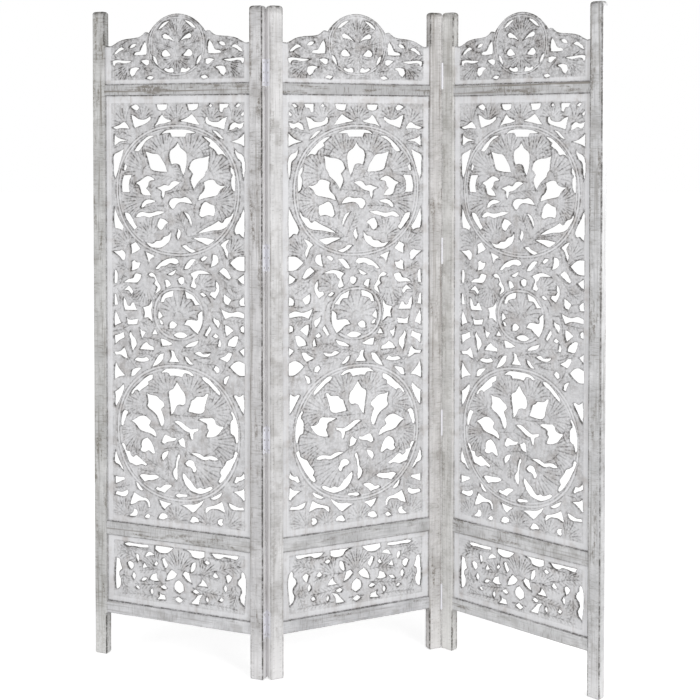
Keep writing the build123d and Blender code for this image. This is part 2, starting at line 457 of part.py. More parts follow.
def curve_edges(points, closed):
    """Smooth edges through the points in the XZ plane, with a sharp corner wherever they turn hard."""
    count = len(points)
    spans = count if closed else count - 1
    chords = []
    for i in range(spans):
        ax, az = points[i]
        bx, bz = points[(i + 1) % count]
        length = hypot(bx - ax, bz - az)
        chords.append(((bx - ax) / length, (bz - az) / length, length))

    def heading(i, before, after):
        """Direction of the curve at point i, for the chord that asks: smooth, or its own at a corner."""
        turn = degrees(atan2(before[0] * after[1] - before[1] * after[0],
                             before[0] * after[0] + before[1] * after[1]))
        if abs(turn) > CORNER_TURN:
            return None
        hx, hz = before[0] + after[0], before[1] + after[1]
        size = hypot(hx, hz)
        return (hx / size, hz / size)

    edges = []
    for i in range(spans):
        ax, az = points[i]
        bx, bz = points[(i + 1) % count]
        ux, uz, length = chords[i]
        start = None
        end = None
        if closed or i > 0:
            start = heading(i, chords[i - 1], chords[i])
        if closed or i < spans - 1:
            end = heading(i + 1, chords[i], chords[(i + 1) % spans])
        sx, sz = start or (ux, uz)
        ex, ez = end or (ux, uz)
        if start is None and end is None:
            edges.append(Line((ax, 0, az), (bx, 0, bz)))
        else:
            reach = length / 3
            edges.append(Bezier((ax, 0, az), (ax + sx * reach, 0, az + sz * reach),
                                (bx - ex * reach, 0, bz - ez * reach), (bx, 0, bz)))
    return edges


def straight_edges(points):
    """Straight edges from point to point in the XZ plane."""
    return [Line((a[0], 0, a[1]), (b[0], 0, b[1])) for a, b in zip(points, points[1:])]


def board(outer_edges, openings):
    """Pierced board: the outer outline with the openings cut through, centred on y = 0."""
    outer = Wire(outer_edges)
    holes = [Wire(curve_edges(points, True)) for points in openings]
    return extrude(Face(outer, holes), BOARD_THICKNESS / 2, dir=(0, 1, 0), both=True)


def block(x0, x1, thickness, z0, z1):
    """Box between two x and two z values, centred on y = 0."""
    return Pos((x0 + x1) / 2, 0, (z0 + z1) / 2) * Box(x1 - x0, thickness, z1 - z0)


# ---- Wooden pieces of a leaf -----------------------------------------------------------------------
def stile(side):
    """Upright post: rounded ends, a board groove along its inner edge and three mortises."""
    post = block(0, STILE_WIDTH, STILE_THICKNESS, 0, LEAF_HEIGHT)
    post = fillet(post.edges().group_by(Axis.Z)[-1], STILE_TOP_RADIUS)
    post = fillet(post.edges().group_by(Axis.Z)[0], STILE_FOOT_RADIUS)
    groove_top = CREST_Z + CREST_END_HEIGHT
    post -= block(STILE_WIDTH - GROOVE_DEPTH, STILE_WIDTH, GROOVE_WIDTH, LOWER_BOARD_Z, groove_top)
    for z, height in RAILS.values():
        post -= block(STILE_WIDTH - TENON_LENGTH, STILE_WIDTH, TENON_THICKNESS, z, z + height)
        post -= block(STILE_WIDTH - GROOVE_DEPTH, STILE_WIDTH, GROOVE_WIDTH, z, z + height)
    if side == "right":
        post = Pos(LEAF_WIDTH, 0, 0) * (Rot(0, 0, 180) * post)
    return post


def rail(name):
    """Cross rail with a stepped tenon at each end and a groove for each board that meets it."""
    z, height = RAILS[name]
    left, right = STILE_WIDTH, LEAF_WIDTH - STILE_WIDTH
    piece = block(left, right, RAIL_THICKNESS, z, z + height)
    piece += block(left - GROOVE_DEPTH, right + GROOVE_DEPTH, GROOVE_WIDTH, z, z + height)
    piece += block(left - TENON_LENGTH, right + TENON_LENGTH, TENON_THICKNESS, z, z + height)
    past_end = 2 * TENON_LENGTH
    piece -= block(left - past_end, right + past_end, GROOVE_WIDTH, z + height - GROOVE_DEPTH, z + height)
    if name != "bottom":
        piece -= block(left - past_end, right + past_end, GROOVE_WIDTH, z, z + GROOVE_DEPTH)
    return piece


def square_board(low, high, drawn_z, drawn, flipped):
    """Rectangular board between two rail faces, with its edges in the grooves around it."""
    openings = [[board_point(p, drawn_z, (low, high), flipped) for p in points] for points in drawn]
    bottom, top = low - BOARD_EDGE, high + BOARD_EDGE
    corners = [(BOARD_LEFT, bottom), (BOARD_RIGHT, bottom), (BOARD_RIGHT, top), (BOARD_LEFT, top)]
    return board(straight_edges(corners + corners[:1]), openings)


def main_board(flipped):
    """Tall board: two large medallions, a strip above and below them and the scrolls between them."""
    large = UPPER_MEDALLION_OPENINGS + LOWER_MEDALLION_OPENINGS + HEAD_OPENINGS + FOOT_OPENINGS
    drawn = [cut_back(points, MEDALLION_CUT_BACK) for points in large]
    drawn += [cut_back(points, SCROLL_CUT_BACK) for points in SCROLL_OPENINGS]
    return square_board(MAIN_BOARD_Z, MAIN_BOARD_Z + MAIN_BOARD_HEIGHT, DRAWN_MAIN, drawn, flipped)


def lower_board(flipped):
    """Low board between the middle and bottom rails."""
    top = LOWER_BOARD_Z + LOWER_BOARD_HEIGHT
    drawn = [cut_back(points, SCROLL_CUT_BACK) for points in LOWER_OPENINGS]
    return square_board(LOWER_BOARD_Z, top, DRAWN_LOWER, drawn, flipped)


def crest_point(point):
    """Fit a drawn crest point: the ends scale with the end height, the arch above them with its own."""
    x = LEAF_WIDTH / 2 + point[0] * FIELD_WIDTH / DRAWN_WIDTH
    low, end = DRAWN_CREST
    top = CREST_TOP[0][1]
    if point[1] <= end:
        return (x, CREST_Z + (point[1] - low) / (end - low) * CREST_END_HEIGHT)
    return (x, CREST_Z + CREST_END_HEIGHT + (point[1] - end) / (top - end) * CREST_ARCH_HEIGHT)


def crest_board():
    """Crest with an arched top edge; both halves are alike."""
    openings = []
    for drawn in CREST_HALF_OPENINGS:
        points = cut_back(drawn, MEDALLION_CUT_BACK)
        openings.append([crest_point(p) for p in points])
        openings.append([crest_point((-x, z)) for x, z in points])
    left_half = [(-x, z) for x, z in reversed(CREST_TOP[1:])]
    top = [crest_point(p) for p in left_half + CREST_TOP]
    low = CREST_Z - BOARD_EDGE
    end_z = CREST_Z + CREST_END_HEIGHT
    right_side = [top[-1], (BOARD_RIGHT, end_z), (BOARD_RIGHT, low)]
    left_side = [(BOARD_LEFT, low), (BOARD_LEFT, end_z), top[0]]
    return board(curve_edges(top, False) + straight_edges(right_side + left_side), openings)


# ---- Hinges ----------------------------------------------------------------------------------------
# A hinge is built with its pin on the z axis and its plates running toward +y, one on each side of x = 0.
def knuckle_spans(first):
    """Heights of the knuckles of one plate; the other plate takes the spans between them."""
    pitch = HINGE_LENGTH / KNUCKLES
    spans = []
    for i in range(first, KNUCKLES, 2):
        low = -HINGE_LENGTH / 2 + i * pitch
        spans.append((low + KNUCKLE_GAP / 2, low + pitch - KNUCKLE_GAP / 2))
    return spans


def screw_heights():
    """Heights of a plate's screws, evenly spaced between its end margins."""
    run = HINGE_LENGTH - 2 * SCREW_END_MARGIN
    step = run / (SCREWS_PER_PLATE - 1)
    return [-run / 2 + i * step for i in range(SCREWS_PER_PLATE)]


def screw():
    """Countersunk screw along +x, with its head's face at x = 0 and its cone as deep as the plate."""
    from_start = (Align.CENTER, Align.CENTER, Align.MIN)
    head = Cone(SCREW_HEAD_RADIUS, SCREW_RADIUS, PLATE_THICKNESS, align=from_start)
    shank = Cylinder(SCREW_RADIUS, SCREW_LENGTH, align=from_start)
    return Rot(0, 90, 0) * (head + shank)


def plate_screws():
    """Screws of one plate at positive x."""
    return [Pos(PLATE_FACE, SCREW_Y, z) * screw() for z in screw_heights()]


def plate(first):
    """Plate with its knuckles at positive x, bored for the pin and countersunk for the screws."""
    body = Pos(PLATE_FACE + PLATE_THICKNESS / 2, PLATE_START + PLATE_WIDTH / 2, 0) * Box(
        PLATE_THICKNESS, PLATE_WIDTH, HINGE_LENGTH)
    for low, high in knuckle_spans(first):
        middle = (low + high) / 2
        body += Pos(0, 0, middle) * Cylinder(BARREL_RADIUS, high - low)
        body += Pos(PLATE_FACE + PLATE_THICKNESS / 2, PLATE_START / 2, middle) * Box(
            PLATE_THICKNESS, PLATE_START, high - low)
    bore = PIN_RADIUS if first == 0 else PIN_RADIUS + PIN_RUNNING_CLEARANCE
    body -= Cylinder(bore, 2 * HINGE_LENGTH)
    for hole in plate_screws():
        body -= hole
    return body


def hinge_seat():
    """What a stile loses at positive x: a shallow recess for the plate and a hollow for barrel and pin."""
    recess_depth = PLATE_FACE + PLATE_THICKNESS
    recess_width = PLATE_START + PLATE_WIDTH + SEAT_CLEARANCE
    recess = Box(recess_depth, recess_width, HINGE_LENGTH + 2 * SEAT_CLEARANCE)
    hollow_length = HINGE_LENGTH + 2 * (PIN_HEAD_HEIGHT + SEAT_CLEARANCE)
    hollow = Cylinder(BARREL_RADIUS + BARREL_STANDOFF, hollow_length)
    return Pos(recess_depth / 2, recess_width / 2, 0) * recess + hollow


def hinge_pin():
    """Pin with a low head at its top that rests on the uppermost knuckle."""
    shank = Cylinder(PIN_RADIUS, HINGE_LENGTH)
    head_z = HINGE_LENGTH / 2 - KNUCKLE_GAP / 2 + PIN_HEAD_HEIGHT / 2
    return shank + Pos(0, 0, head_z) * Cylinder(PIN_HEAD_RADIUS, PIN_HEAD_HEIGHT)


# ---- Places of the leaves --------------------------------------------------------------------------
def turned(x, y, turn):
    """Point (x, y) turned about the origin."""
    a = radians(turn)
    return (x * cos(a) - y * sin(a), x * sin(a) + y * cos(a))


def leaf_origins():
    """Origins of the leaves such that neighbours share a hinge axis, centred on their outline."""
    behind, before = AXIS_PROUD, -AXIS_PROUD
    left_axis = turned(-AXIS_OUT, behind, CENTRE_LEAF_TURN)
    right_axis = turned(LEAF_WIDTH + AXIS_OUT, before, CENTRE_LEAF_TURN)
    on_left = turned(LEAF_WIDTH + AXIS_OUT, behind, LEFT_LEAF_TURN)
    on_right = turned(-AXIS_OUT, before, RIGHT_LEAF_TURN)
    origins = {
        "left": (left_axis[0] - on_left[0], left_axis[1] - on_left[1]),
        "centre": (0.0, 0.0),
        "right": (right_axis[0] - on_right[0], right_axis[1] - on_right[1]),
    }
    corners = []
    for name, (ox, oy) in origins.items():
        for x in (0, LEAF_WIDTH):
            for y in (-STILE_THICKNESS / 2, STILE_THICKNESS / 2):
                px, py = turned(x, y, TURNS[name])
                corners.append((ox + px, oy + py))
    middle_x = (min(c[0] for c in corners) + max(c[0] for c in corners)) / 2
    middle_y = (min(c[1] for c in corners) + max(c[1] for c in corners)) / 2
    axes = {"left": left_axis, "right": right_axis}
    axes = {name: (x - middle_x, y - middle_y) for name, (x, y) in axes.items()}
    origins = {name: (x - middle_x, y - middle_y) for name, (x, y) in origins.items()}
    return origins, axes


ORIGINS, AXES = leaf_origins()


def on_leaf(name):
    """Location of a leaf's own frame in the screen."""
    ox, oy = ORIGINS[name]
    return Location((ox, oy, 0), (0, 0, TURNS[name]))


def hinge_on_edge(edge, joint, height):
    """Location of a hinge's frame on the right or left edge of a leaf, for the left or right joint.

    The left joint's pins stand behind the leaves, so its plates run forward; the right joint's stand
    in front, so its plates run backward.
    """
    x = LEAF_WIDTH + AXIS_OUT if edge == "right" else -AXIS_OUT
    y = AXIS_PROUD if joint == "left" else -AXIS_PROUD
    turn = 180 if joint == "left" else 0
    return Location((x, y, height), (0, 0, turn))


# Which leaf edge carries each plate: (joint, leaf, edge, plate's first knuckle).
EDGES = [
    ("left", "left", "right", 0),
    ("left", "centre", "left", 1),
    ("right", "centre", "right", 0),
    ("right", "right", "left", 1),
]


def needs_mirror(edge, joint):
    """True where the plate must lie at negative x of the hinge's frame to reach its leaf."""
    return (edge == "right") == (joint == "right")


def on_side(shape, edge, joint):
    """The shape, or its mirror image across x = 0, on the side that faces its leaf."""
    if needs_mirror(edge, joint):
        return mirror(shape, about=Plane.YZ)
    return shape


# ---- Build and write every piece -------------------------------------------------------------------
nodes = {}
for leaf in ("left", "centre", "right"):
    flipped = leaf == "centre"
    pieces = {
        "left_stile": stile("left"),
        "right_stile": stile("right"),
        "top_rail": rail("top"),
        "middle_rail": rail("middle"),
        "bottom_rail": rail("bottom"),
        "crest_board": crest_board(),
        "main_board": main_board(flipped),
        "lower_board": lower_board(flipped),
    }
    hinged_edges = [(joint, edge) for joint, carrier, edge, _ in EDGES if carrier == leaf]
    for joint, edge in hinged_edges:
        for height in HINGE_HEIGHTS:
            for cut in [hinge_seat()] + plate_screws():
                pieces[f"{edge}_stile"] -= hinge_on_edge(edge, joint, height) * on_side(cut, edge, joint)
    for piece, shape in pieces.items():
        nodes[f"{leaf}_{piece}"] = on_leaf(leaf) * shape

for joint, leaf, edge, first in EDGES:
    screws = []
    for number, height in enumerate(HINGE_HEIGHTS, start=1):
        place = on_leaf(leaf) * hinge_on_edge(edge, joint, height)
        hinge = f"{joint}_joint_hinge_{number}"
        nodes[f"{hinge}_plate_on_{leaf}_leaf"] = place * on_side(plate(first), edge, joint)
        screws += [place * on_side(s, edge, joint) for s in plate_screws()]
        if first == 0:
            nodes[f"{hinge}_pin"] = place * hinge_pin()
    nodes[f"{joint}_joint_screws_in_{leaf}_leaf"] = Compound(screws)

for name, shape in nodes.items():
    export_step(shape, f"parts/{name}.step")

for joint, (x, y) in AXES.items():
    print(f"{joint} joint axis: x {x:.4f} y {y:.4f} mm")
print(f"{len(nodes)} nodes")
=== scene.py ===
import json
import math

import bpy
import numpy as np
from mathutils import Matrix, Vector


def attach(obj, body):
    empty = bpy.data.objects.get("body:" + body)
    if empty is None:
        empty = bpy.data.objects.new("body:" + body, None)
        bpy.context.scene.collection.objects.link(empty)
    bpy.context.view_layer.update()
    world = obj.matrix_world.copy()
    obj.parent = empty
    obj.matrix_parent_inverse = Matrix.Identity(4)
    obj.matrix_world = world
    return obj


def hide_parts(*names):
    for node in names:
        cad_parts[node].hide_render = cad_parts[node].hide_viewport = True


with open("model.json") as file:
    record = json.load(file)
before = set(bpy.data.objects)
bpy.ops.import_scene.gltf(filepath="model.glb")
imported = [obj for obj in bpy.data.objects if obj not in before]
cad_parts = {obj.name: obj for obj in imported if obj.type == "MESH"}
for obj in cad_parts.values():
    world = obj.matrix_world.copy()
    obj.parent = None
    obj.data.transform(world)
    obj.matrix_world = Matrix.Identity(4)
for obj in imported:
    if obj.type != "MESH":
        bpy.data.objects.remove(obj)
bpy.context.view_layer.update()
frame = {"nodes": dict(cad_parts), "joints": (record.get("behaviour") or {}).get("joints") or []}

# Carved folding screen. A leaf's own frame is in millimetres: x from its left edge, y = 0 the middle of its
# thickness with the front at negative y, z from the floor.
LEAF_WIDTH = 533.0
LEAF_HEIGHT = 1830.0
STILE_WIDTH = 38.0
STILE_THICKNESS = 25.0
RAIL_THICKNESS = 20.0
BOARD_THICKNESS = 9.0
CREST_END = 1734.0
CREST_TOP = 1817.0
MM = 0.001

# Low and high edge of each rail.
RAILS = {"bottom_rail": (120.0, 155.0), "middle_rail": (345.0, 384.0), "top_rail": (1592.0, 1623.0)}

# How far the hinge pins stand outside a leaf's edge, and before or behind the middle of its thickness.
PIN_OUT = 0.5
PIN_PROUD = 13.0
HINGE_HEIGHTS = (150.0, 655.0, 1150.0, 1650.0)

# Turn of each leaf about the vertical. One leaf has its carving turned round.
TURNS = {"left": -22.5, "centre": 26.3, "right": -43.3}
FLIPPED_LEAF = "centre"


# ---- Where the leaves stand ----
def leaf_places():
    """Matrix from each leaf's millimetres to the screen's metres, from the joints that the leaves share."""
    pins = {joint["name"]: joint["pos_m"] for joint in frame["joints"]}
    held_at = {
        "left": ("left_leaf_fold", LEAF_WIDTH + PIN_OUT, PIN_PROUD),
        "centre": ("left_leaf_fold", -PIN_OUT, PIN_PROUD),
        "right": ("right_leaf_fold", -PIN_OUT, -PIN_PROUD),
    }
    places = {}
    for leaf, (joint, x, y) in held_at.items():
        turn = Matrix.Rotation(math.radians(TURNS[leaf]), 4, "Z")
        pin = Vector((pins[joint][0], pins[joint][1], 0.0))
        places[leaf] = Matrix.Translation(pin - turn @ Vector((x * MM, y * MM, 0.0))) @ turn
    return places


PLACES = leaf_places()


# ---- Meshes ----
SMOOTH_BELOW = 40.0


def mesh_from(name, points, faces, fields):
    """Mesh from leaf millimetres, with a list of index arrays (triangles, quads, ...) and float fields."""
    mesh = bpy.data.meshes.new(name)
    mesh.vertices.add(len(points))
    mesh.vertices.foreach_set("co", (np.asarray(points) * MM).astype(np.float32).ravel())
    loops = np.concatenate([group.ravel() for group in faces])
    sizes = np.concatenate([np.full(len(group), group.shape[1]) for group in faces])
    starts = np.concatenate(([0], np.cumsum(sizes)[:-1]))
    mesh.loops.add(len(loops))
    mesh.loops.foreach_set("vertex_index", loops.astype(np.int32))
    mesh.polygons.add(len(sizes))
    mesh.polygons.foreach_set("loop_start", starts.astype(np.int32))
    mesh.update(calc_edges=True)
    mesh.validate()
    for field, values in fields.items():
        attribute = mesh.attributes.new(field, "FLOAT", "POINT")
        attribute.data.foreach_set("value", np.asarray(values, np.float32))
    mesh.polygons.foreach_set("use_smooth", np.ones(len(mesh.polygons), bool))
    mesh.set_sharp_from_angle(angle=math.radians(SMOOTH_BELOW))
    return mesh


def piece(name, mesh, leaf, material, node):
    """A piece of a leaf: it stands at the leaf's place, moves with it and stands for the CAD node."""
    thing = bpy.data.objects.new(name, mesh)
    bpy.context.scene.collection.objects.link(thing)
    thing.matrix_world = PLACES[leaf]
    if not mesh.materials:
        mesh.materials.append(None)
    thing.material_slots[0].link = "OBJECT"
    thing.material_slots[0].material = material
    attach(thing, f"{leaf}_leaf")
    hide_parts(node)


def smoothstep(low, high, value):
    """Smooth rise from 0 at low to 1 at high."""
    share = np.clip((value - low) / (high - low), 0.0, 1.0)
    return share * share * (3.0 - 2.0 * share)


# ---- Carved boards ----
# A board is carved on a grid with this step. It reaches a little way into the wood around it, and the
# carving looks a limited way for the nearest edge. The rows stand off whole millimetres, so that none runs
# along an edge of the outline. A cut through a cell's side keeps a share of the side from its corners.
GRID = 2.0
EMBED = 2.0
REACH = 14.0
ROW_NUDGE = 1e-4
CELL_MARGIN = 0.06

# Tolerances for points on the front face and for upright or level edges. Upright edges nearer to the leaf's
# sides than the last value lie in the stiles' grooves.
FACE_TOLERANCE = 0.05
STRAIGHT_TOLERANCE = 0.01
HIDDEN_SIDE = 31.0

# The middle of the leaf in the drawing of the carving.
DRAWN_MIDDLE = 268.5

# What is carved on each board, in drawn millimetres. Rings: centre x, centre z, outer half width, outer half
# height, width of the band. Border: the plain strip runs outside these x and z limits. Ground: how dark the
# residue lies over the sunk parts. Stain: how strong all residue is at the board's head. Fade: the share of
# it that is missing at the board's foot. Parts: meshes that the board is cut into.
BOARDS = {
    "main_board": {
        "span": (RAILS["middle_rail"][1], RAILS["top_rail"][0]),
        "rings": [(268.5, 1328.0, 196.0, 183.0, 15.0), (268.5, 652.0, 196.0, 192.0, 16.0),
                  (272.0, 985.0, 80.0, 74.0, 9.0)],
        "border": (60.0, 477.0, 403.0, 1569.0),
        "ground": 0.32, "stain": 1.16, "fade": 0.2, "parts": 3,
    },
    "lower_board": {
        "span": (RAILS["bottom_rail"][1], RAILS["middle_rail"][0]),
        "rings": [],
        "border": (62.0, 475.0, 172.0, 330.0),
        "ground": 0.20, "stain": 1.1, "fade": 0.0, "parts": 1,
    },
    "crest_board": {
        "span": (RAILS["top_rail"][1], CREST_TOP),
        "rings": [(268.5, 1731.0, 90.0, 85.0, 12.0)],
        "border": (60.0, 477.0, 1637.0, 1900.0),
        "ground": 0.42, "stain": 1.3, "fade": 0.0, "parts": 1,
    },
}

# How far the foliage and a cut of depth 1 go below the face, and half the width of a cut. The edges of rings
# and borders slope between these offsets.
FOLIAGE_DROP = 0.7
CUT_DROP = 1.1
CUT_HALF = 2.7
RING_SLOPE_OUT = 1.2
RING_SLOPE_IN = 0.8
BORDER_SLOPE = (-1.5, 0.5)

# Rings are ellipses a little square at the shoulders. Their grooves are given from the outer edge in shares
# of the band, with their strengths, and a wide band has one more.
RING_POWER = 2.15
RING_GROOVE_HALF = 2.6
WIDE_BAND = 12.0
WIDE_RING_GROOVES = ((0.0, 0.9), (0.54, 0.85), (1.0, 0.5))
NARROW_RING_GROOVES = ((0.0, 1.0), (1.0, 0.9))

# Depths of the cuts in flowers and leaves. Cuts between petals are shallow up to the root's share of their
# length, and the outer petals curl.
PETAL_CURL = 26.0
PETAL_ROOT = 0.35
ROOT_CUT = 0.6
PETAL_CUT = 1.25
PETAL_VEIN = (0.55, 0.75, 0.92)
PETAL_VEIN_CUT = 0.85
BASE_CUT = 0.8
MIDRIB_CUT = 1.0
VEIN_CUT = 0.75
VEIN_TURN = 44.0
VEIN_REACH = 0.7
FIRST_VEIN = 0.8
HEADING_STEP = 2.0
STEM_CUT = 1.2

# Strength of the residue in grooves, in cuts and along the border, and how far it spreads from the border,
# from openings and from the seams with the frame. Beside the openings and on their walls the dark is residue
# and painted shade.
RING_STAIN = 1.4
CUT_STAIN = 1.1
BORDER_STAIN = 0.45
BORDER_STAIN_WIDTH = 1.6
EDGE_STAIN_AND_SHADE_WIDTH = 3.1
SEAM_STAIN_WIDTH = 1.8

# The edges of openings are rounded, and the wood falls off toward them.
EDGE_ROUND = 1.0
DOME_DROP = 0.6
DOME_WIDTH = 7.0

# Flowers that open like a fan: base x, base z, direction and spread in degrees, distance from the base to
# the start and to the tip of the petals, number of petals.
FANS = {"main_board": [
    # head strip
    (110, 1506, 135, 80, 14, 52, 4), (160, 1520, 90, 130, 10, 42, 5), (268, 1518, 90, 130, 12, 46, 6),
    (374, 1520, 90, 120, 10, 42, 5), (438, 1510, 52, 70, 14, 52, 4),
    # upper medallion
    (238, 1410, 117, 76, 28, 84, 6), (298, 1405, 62, 76, 28, 84, 6), (360, 1365, 38, 104, 22, 82, 7),
    (380, 1300, -5, 95, 14, 68, 7), (180, 1375, 150, 72, 22, 92, 6), (192, 1305, 187, 52, 30, 102, 6),
    (188, 1192, 120, 130, 16, 58, 7), (120, 1328, 60, 70, 4, 26, 3),
    # scrolls
    (120, 1165, 128, 84, 12, 56, 5), (172, 1066, 256, 96, 14, 62, 6), (330, 1058, 32, 118, 14, 56, 6),
    (428, 1150, 48, 80, 10, 56, 5), (106, 1000, 40, 60, 20, 46, 4),
    # small medallion
    (272, 978, 90, 176, 14, 66, 7),
    # lower medallion
    (243, 752, 122, 88, 20, 78, 6), (300, 752, 58, 88, 20, 78, 6), (352, 712, 22, 90, 18, 88, 7),
    (172, 722, 172, 76, 16, 76, 6), (150, 652, 212, 72, 14, 78, 6), (345, 640, -5, 62, 22, 106, 6),
    (303, 585, -42, 106, 24, 104, 8),
    # foot strip
    (106, 400, 130, 84, 10, 52, 5), (150, 402, 90, 130, 8, 42, 5), (262, 402, 90, 136, 10, 44, 6),
    (364, 402, 90, 130, 8, 42, 5), (420, 402, 50, 84, 10, 54, 5),
], "lower_board": [
    (270, 254, 90, 78, 16, 68, 6), (204, 254, 128, 64, 14, 62, 5), (336, 254, 52, 64, 14, 62, 5),
    (112, 300, 150, 90, 4, 34, 4), (428, 300, 30, 90, 4, 34, 4), (270, 196, 270, 120, 6, 24, 4),
], "crest_board": [
    (268.5, 1742, 90, 104, 16, 60, 8), (268.5, 1704, 270, 116, 8, 42, 6), (126, 1684, 207, 84, 10, 64, 7),
]}

# Carved leaves: points of the midrib from stem to tip, width, side veins on each side.
FOLIAGE = {"main_board": [
    # beside the upper medallion
    ([(122, 1478), (96, 1490), (66, 1492)], 22, 5), ([(414, 1486), (440, 1490), (472, 1496)], 22, 5),
    ([(120, 1456), (96, 1458), (68, 1446)], 16, 5), ([(104, 1210), (84, 1202), (64, 1204)], 22, 3),
    # upper medallion
    ([(292, 1352), (245, 1366), (190, 1372)], 30, 6), ([(232, 1318), (275, 1328), (315, 1332)], 28, 6),
    ([(290, 1362), (276, 1384), (258, 1400)], 26, 4), ([(148, 1274), (185, 1284), (236, 1284)], 22, 6),
    ([(300, 1205), (284, 1238), (272, 1264)], 30, 5), ([(318, 1212), (360, 1240), (408, 1256)], 26, 6),
    ([(298, 1200), (350, 1208), (408, 1216)], 16, 7), ([(252, 1196), (236, 1216), (232, 1244)], 18, 4),
    ([(330, 1300), (322, 1278), (326, 1250)], 18, 4), ([(348, 1206), (352, 1194), (300, 1184)], 14, 3),
    ([(196, 1340), (186, 1330), (178, 1346)], 14, 2), ([(326, 1330), (334, 1342), (344, 1350)], 18, 3),
    # scrolls
    ([(205, 1098), (240, 1112), (292, 1118)], 20, 7), ([(304, 1112), (335, 1128), (370, 1126)], 26, 5),
    ([(412, 1086), (430, 1064), (458, 1048)], 32, 5), ([(112, 1104), (92, 1112), (78, 1122)], 24, 4),
    ([(108, 1080), (94, 1086), (84, 1062)], 20, 4), ([(460, 1012), (440, 1010), (414, 1014)], 12, 4),
    ([(414, 978), (440, 974), (472, 970)], 20, 5), ([(150, 958), (174, 948), (200, 946)], 22, 4),
    ([(160, 914), (186, 912), (212, 904)], 16, 4), ([(62, 926), (86, 932), (112, 944)], 18, 4),
    ([(322, 890), (352, 904), (392, 906)], 28, 6), ([(262, 874), (294, 884), (326, 888)], 20, 5),
    ([(322, 862), (352, 850), (382, 850)], 24, 5), ([(106, 862), (126, 836), (152, 834)], 20, 4),
    ([(400, 890), (424, 894), (452, 896)], 14, 5), ([(196, 858), (176, 866), (140, 868)], 14, 5),
    ([(398, 818), (416, 842), (420, 858)], 20, 3), ([(222, 942), (246, 934), (300, 940)], 14, 5),
    ([(412, 1130), (404, 1160), (394, 1176)], 12, 4), ([(448, 930), (464, 922), (470, 912)], 12, 3),
    ([(108, 1046), (130, 1024), (150, 1000)], 16, 4), ([(76, 1048), (84, 1020), (84, 992)], 12, 4),
    # lower medallion
    ([(205, 656), (250, 662), (300, 648)], 30, 6), ([(245, 703), (300, 702), (352, 706)], 20, 7),
    ([(212, 550), (170, 572), (122, 592)], 32, 7), ([(246, 506), (190, 536), (140, 540)], 20, 7),
    ([(224, 604), (266, 613), (306, 602)], 22, 6), ([(110, 694), (140, 699), (176, 692)], 12, 5),
    ([(300, 640), (296, 606), (292, 588)], 14, 4), ([(232, 588), (240, 560), (238, 530)], 22, 5),
    ([(316, 478), (280, 492), (252, 490)], 14, 5),
    # beside the lower medallion
    ([(430, 520), (452, 518), (472, 528)], 14, 3), ([(66, 480), (88, 484), (112, 492)], 20, 4),
], "lower_board": [
    ([(228, 224), (180, 216), (130, 212)], 26, 8), ([(312, 224), (360, 216), (410, 212)], 26, 8),
    ([(152, 276), (115, 292), (74, 300)], 34, 6), ([(388, 276), (425, 292), (466, 300)], 34, 6),
    ([(94, 244), (90, 216), (104, 184)], 24, 5), ([(446, 244), (448, 216), (436, 184)], 24, 5),
    ([(198, 184), (150, 186), (88, 180)], 16, 8), ([(342, 184), (392, 184), (452, 180)], 16, 8),
    ([(228, 260), (196, 262), (140, 250)], 18, 6), ([(312, 260), (346, 264), (402, 250)], 18, 6),
    ([(180, 314), (140, 310), (100, 312)], 12, 6), ([(362, 314), (400, 310), (444, 314)], 12, 6),
    ([(100, 240), (104, 226), (112, 214)], 14, 3), ([(438, 240), (432, 226), (428, 212)], 14, 3),
], "crest_board": [
    ([(258, 1720), (228, 1733), (196, 1740)], 34, 6), ([(150, 1702), (110, 1716), (78, 1734)], 16, 6),
    ([(152, 1682), (172, 1662), (204, 1656)], 26, 5), ([(146, 1748), (110, 1744), (76, 1728)], 12, 6),
    ([(216, 1690), (212, 1710), (206, 1728)], 16, 4), ([(222, 1762), (214, 1776), (222, 1792)], 14, 3),
]}

# Cuts along stems and buds of the main board between its medallions, as points.
STEMS = [
    [(238, 1092), (262, 1097), (285, 1089), (298, 1070)], [(308, 1106), (335, 1110), (376, 1098)],
    [(390, 1110), (408, 1093), (430, 1084)], [(430, 1138), (446, 1150), (472, 1156)],
    [(428, 1128), (450, 1112)], [(452, 1088), (460, 1077), (474, 1070)],
    [(428, 1024), (444, 1031), (458, 1034), (474, 1048)], [(418, 1064), (427, 1052), (438, 1045)],
    [(378, 996), (400, 997), (407, 980), (409, 955), (413, 932)], [(352, 1024), (362, 1014), (366, 998)],
    [(358, 946), (351, 930), (362, 922)], [(325, 887), (345, 881), (372, 884)],
    [(395, 878), (412, 882), (426, 890)], [(186, 850), (200, 868), (216, 877)],
    [(146, 877), (170, 878), (190, 875)], [(108, 926), (112, 905), (117, 880)],
    [(60, 942), (76, 952), (100, 951), (128, 946)], [(88, 1050), (102, 1060), (124, 1051)],
    [(92, 1037), (108, 1036), (120, 1028)], [(118, 1066), (142, 1063)],
    [(172, 1083), (188, 1084), (204, 1072)], [(178, 1128), (188, 1135), (204, 1138)],
    [(196, 1020), (206, 1034), (226, 1050)], [(60, 1052), (74, 1058)],
    [(144, 940), (150, 920), (158, 908)], [(320, 860), (344, 866), (372, 866)],
    [(240, 1150), (280, 1146), (318, 1148)],
]


def triples(items, field, kind):
    """Blender's values of a field with three numbers, a row for each item."""
    values = np.empty(len(items) * 3, kind)
    items.foreach_get(field, values)
    return values.reshape(-1, 3)


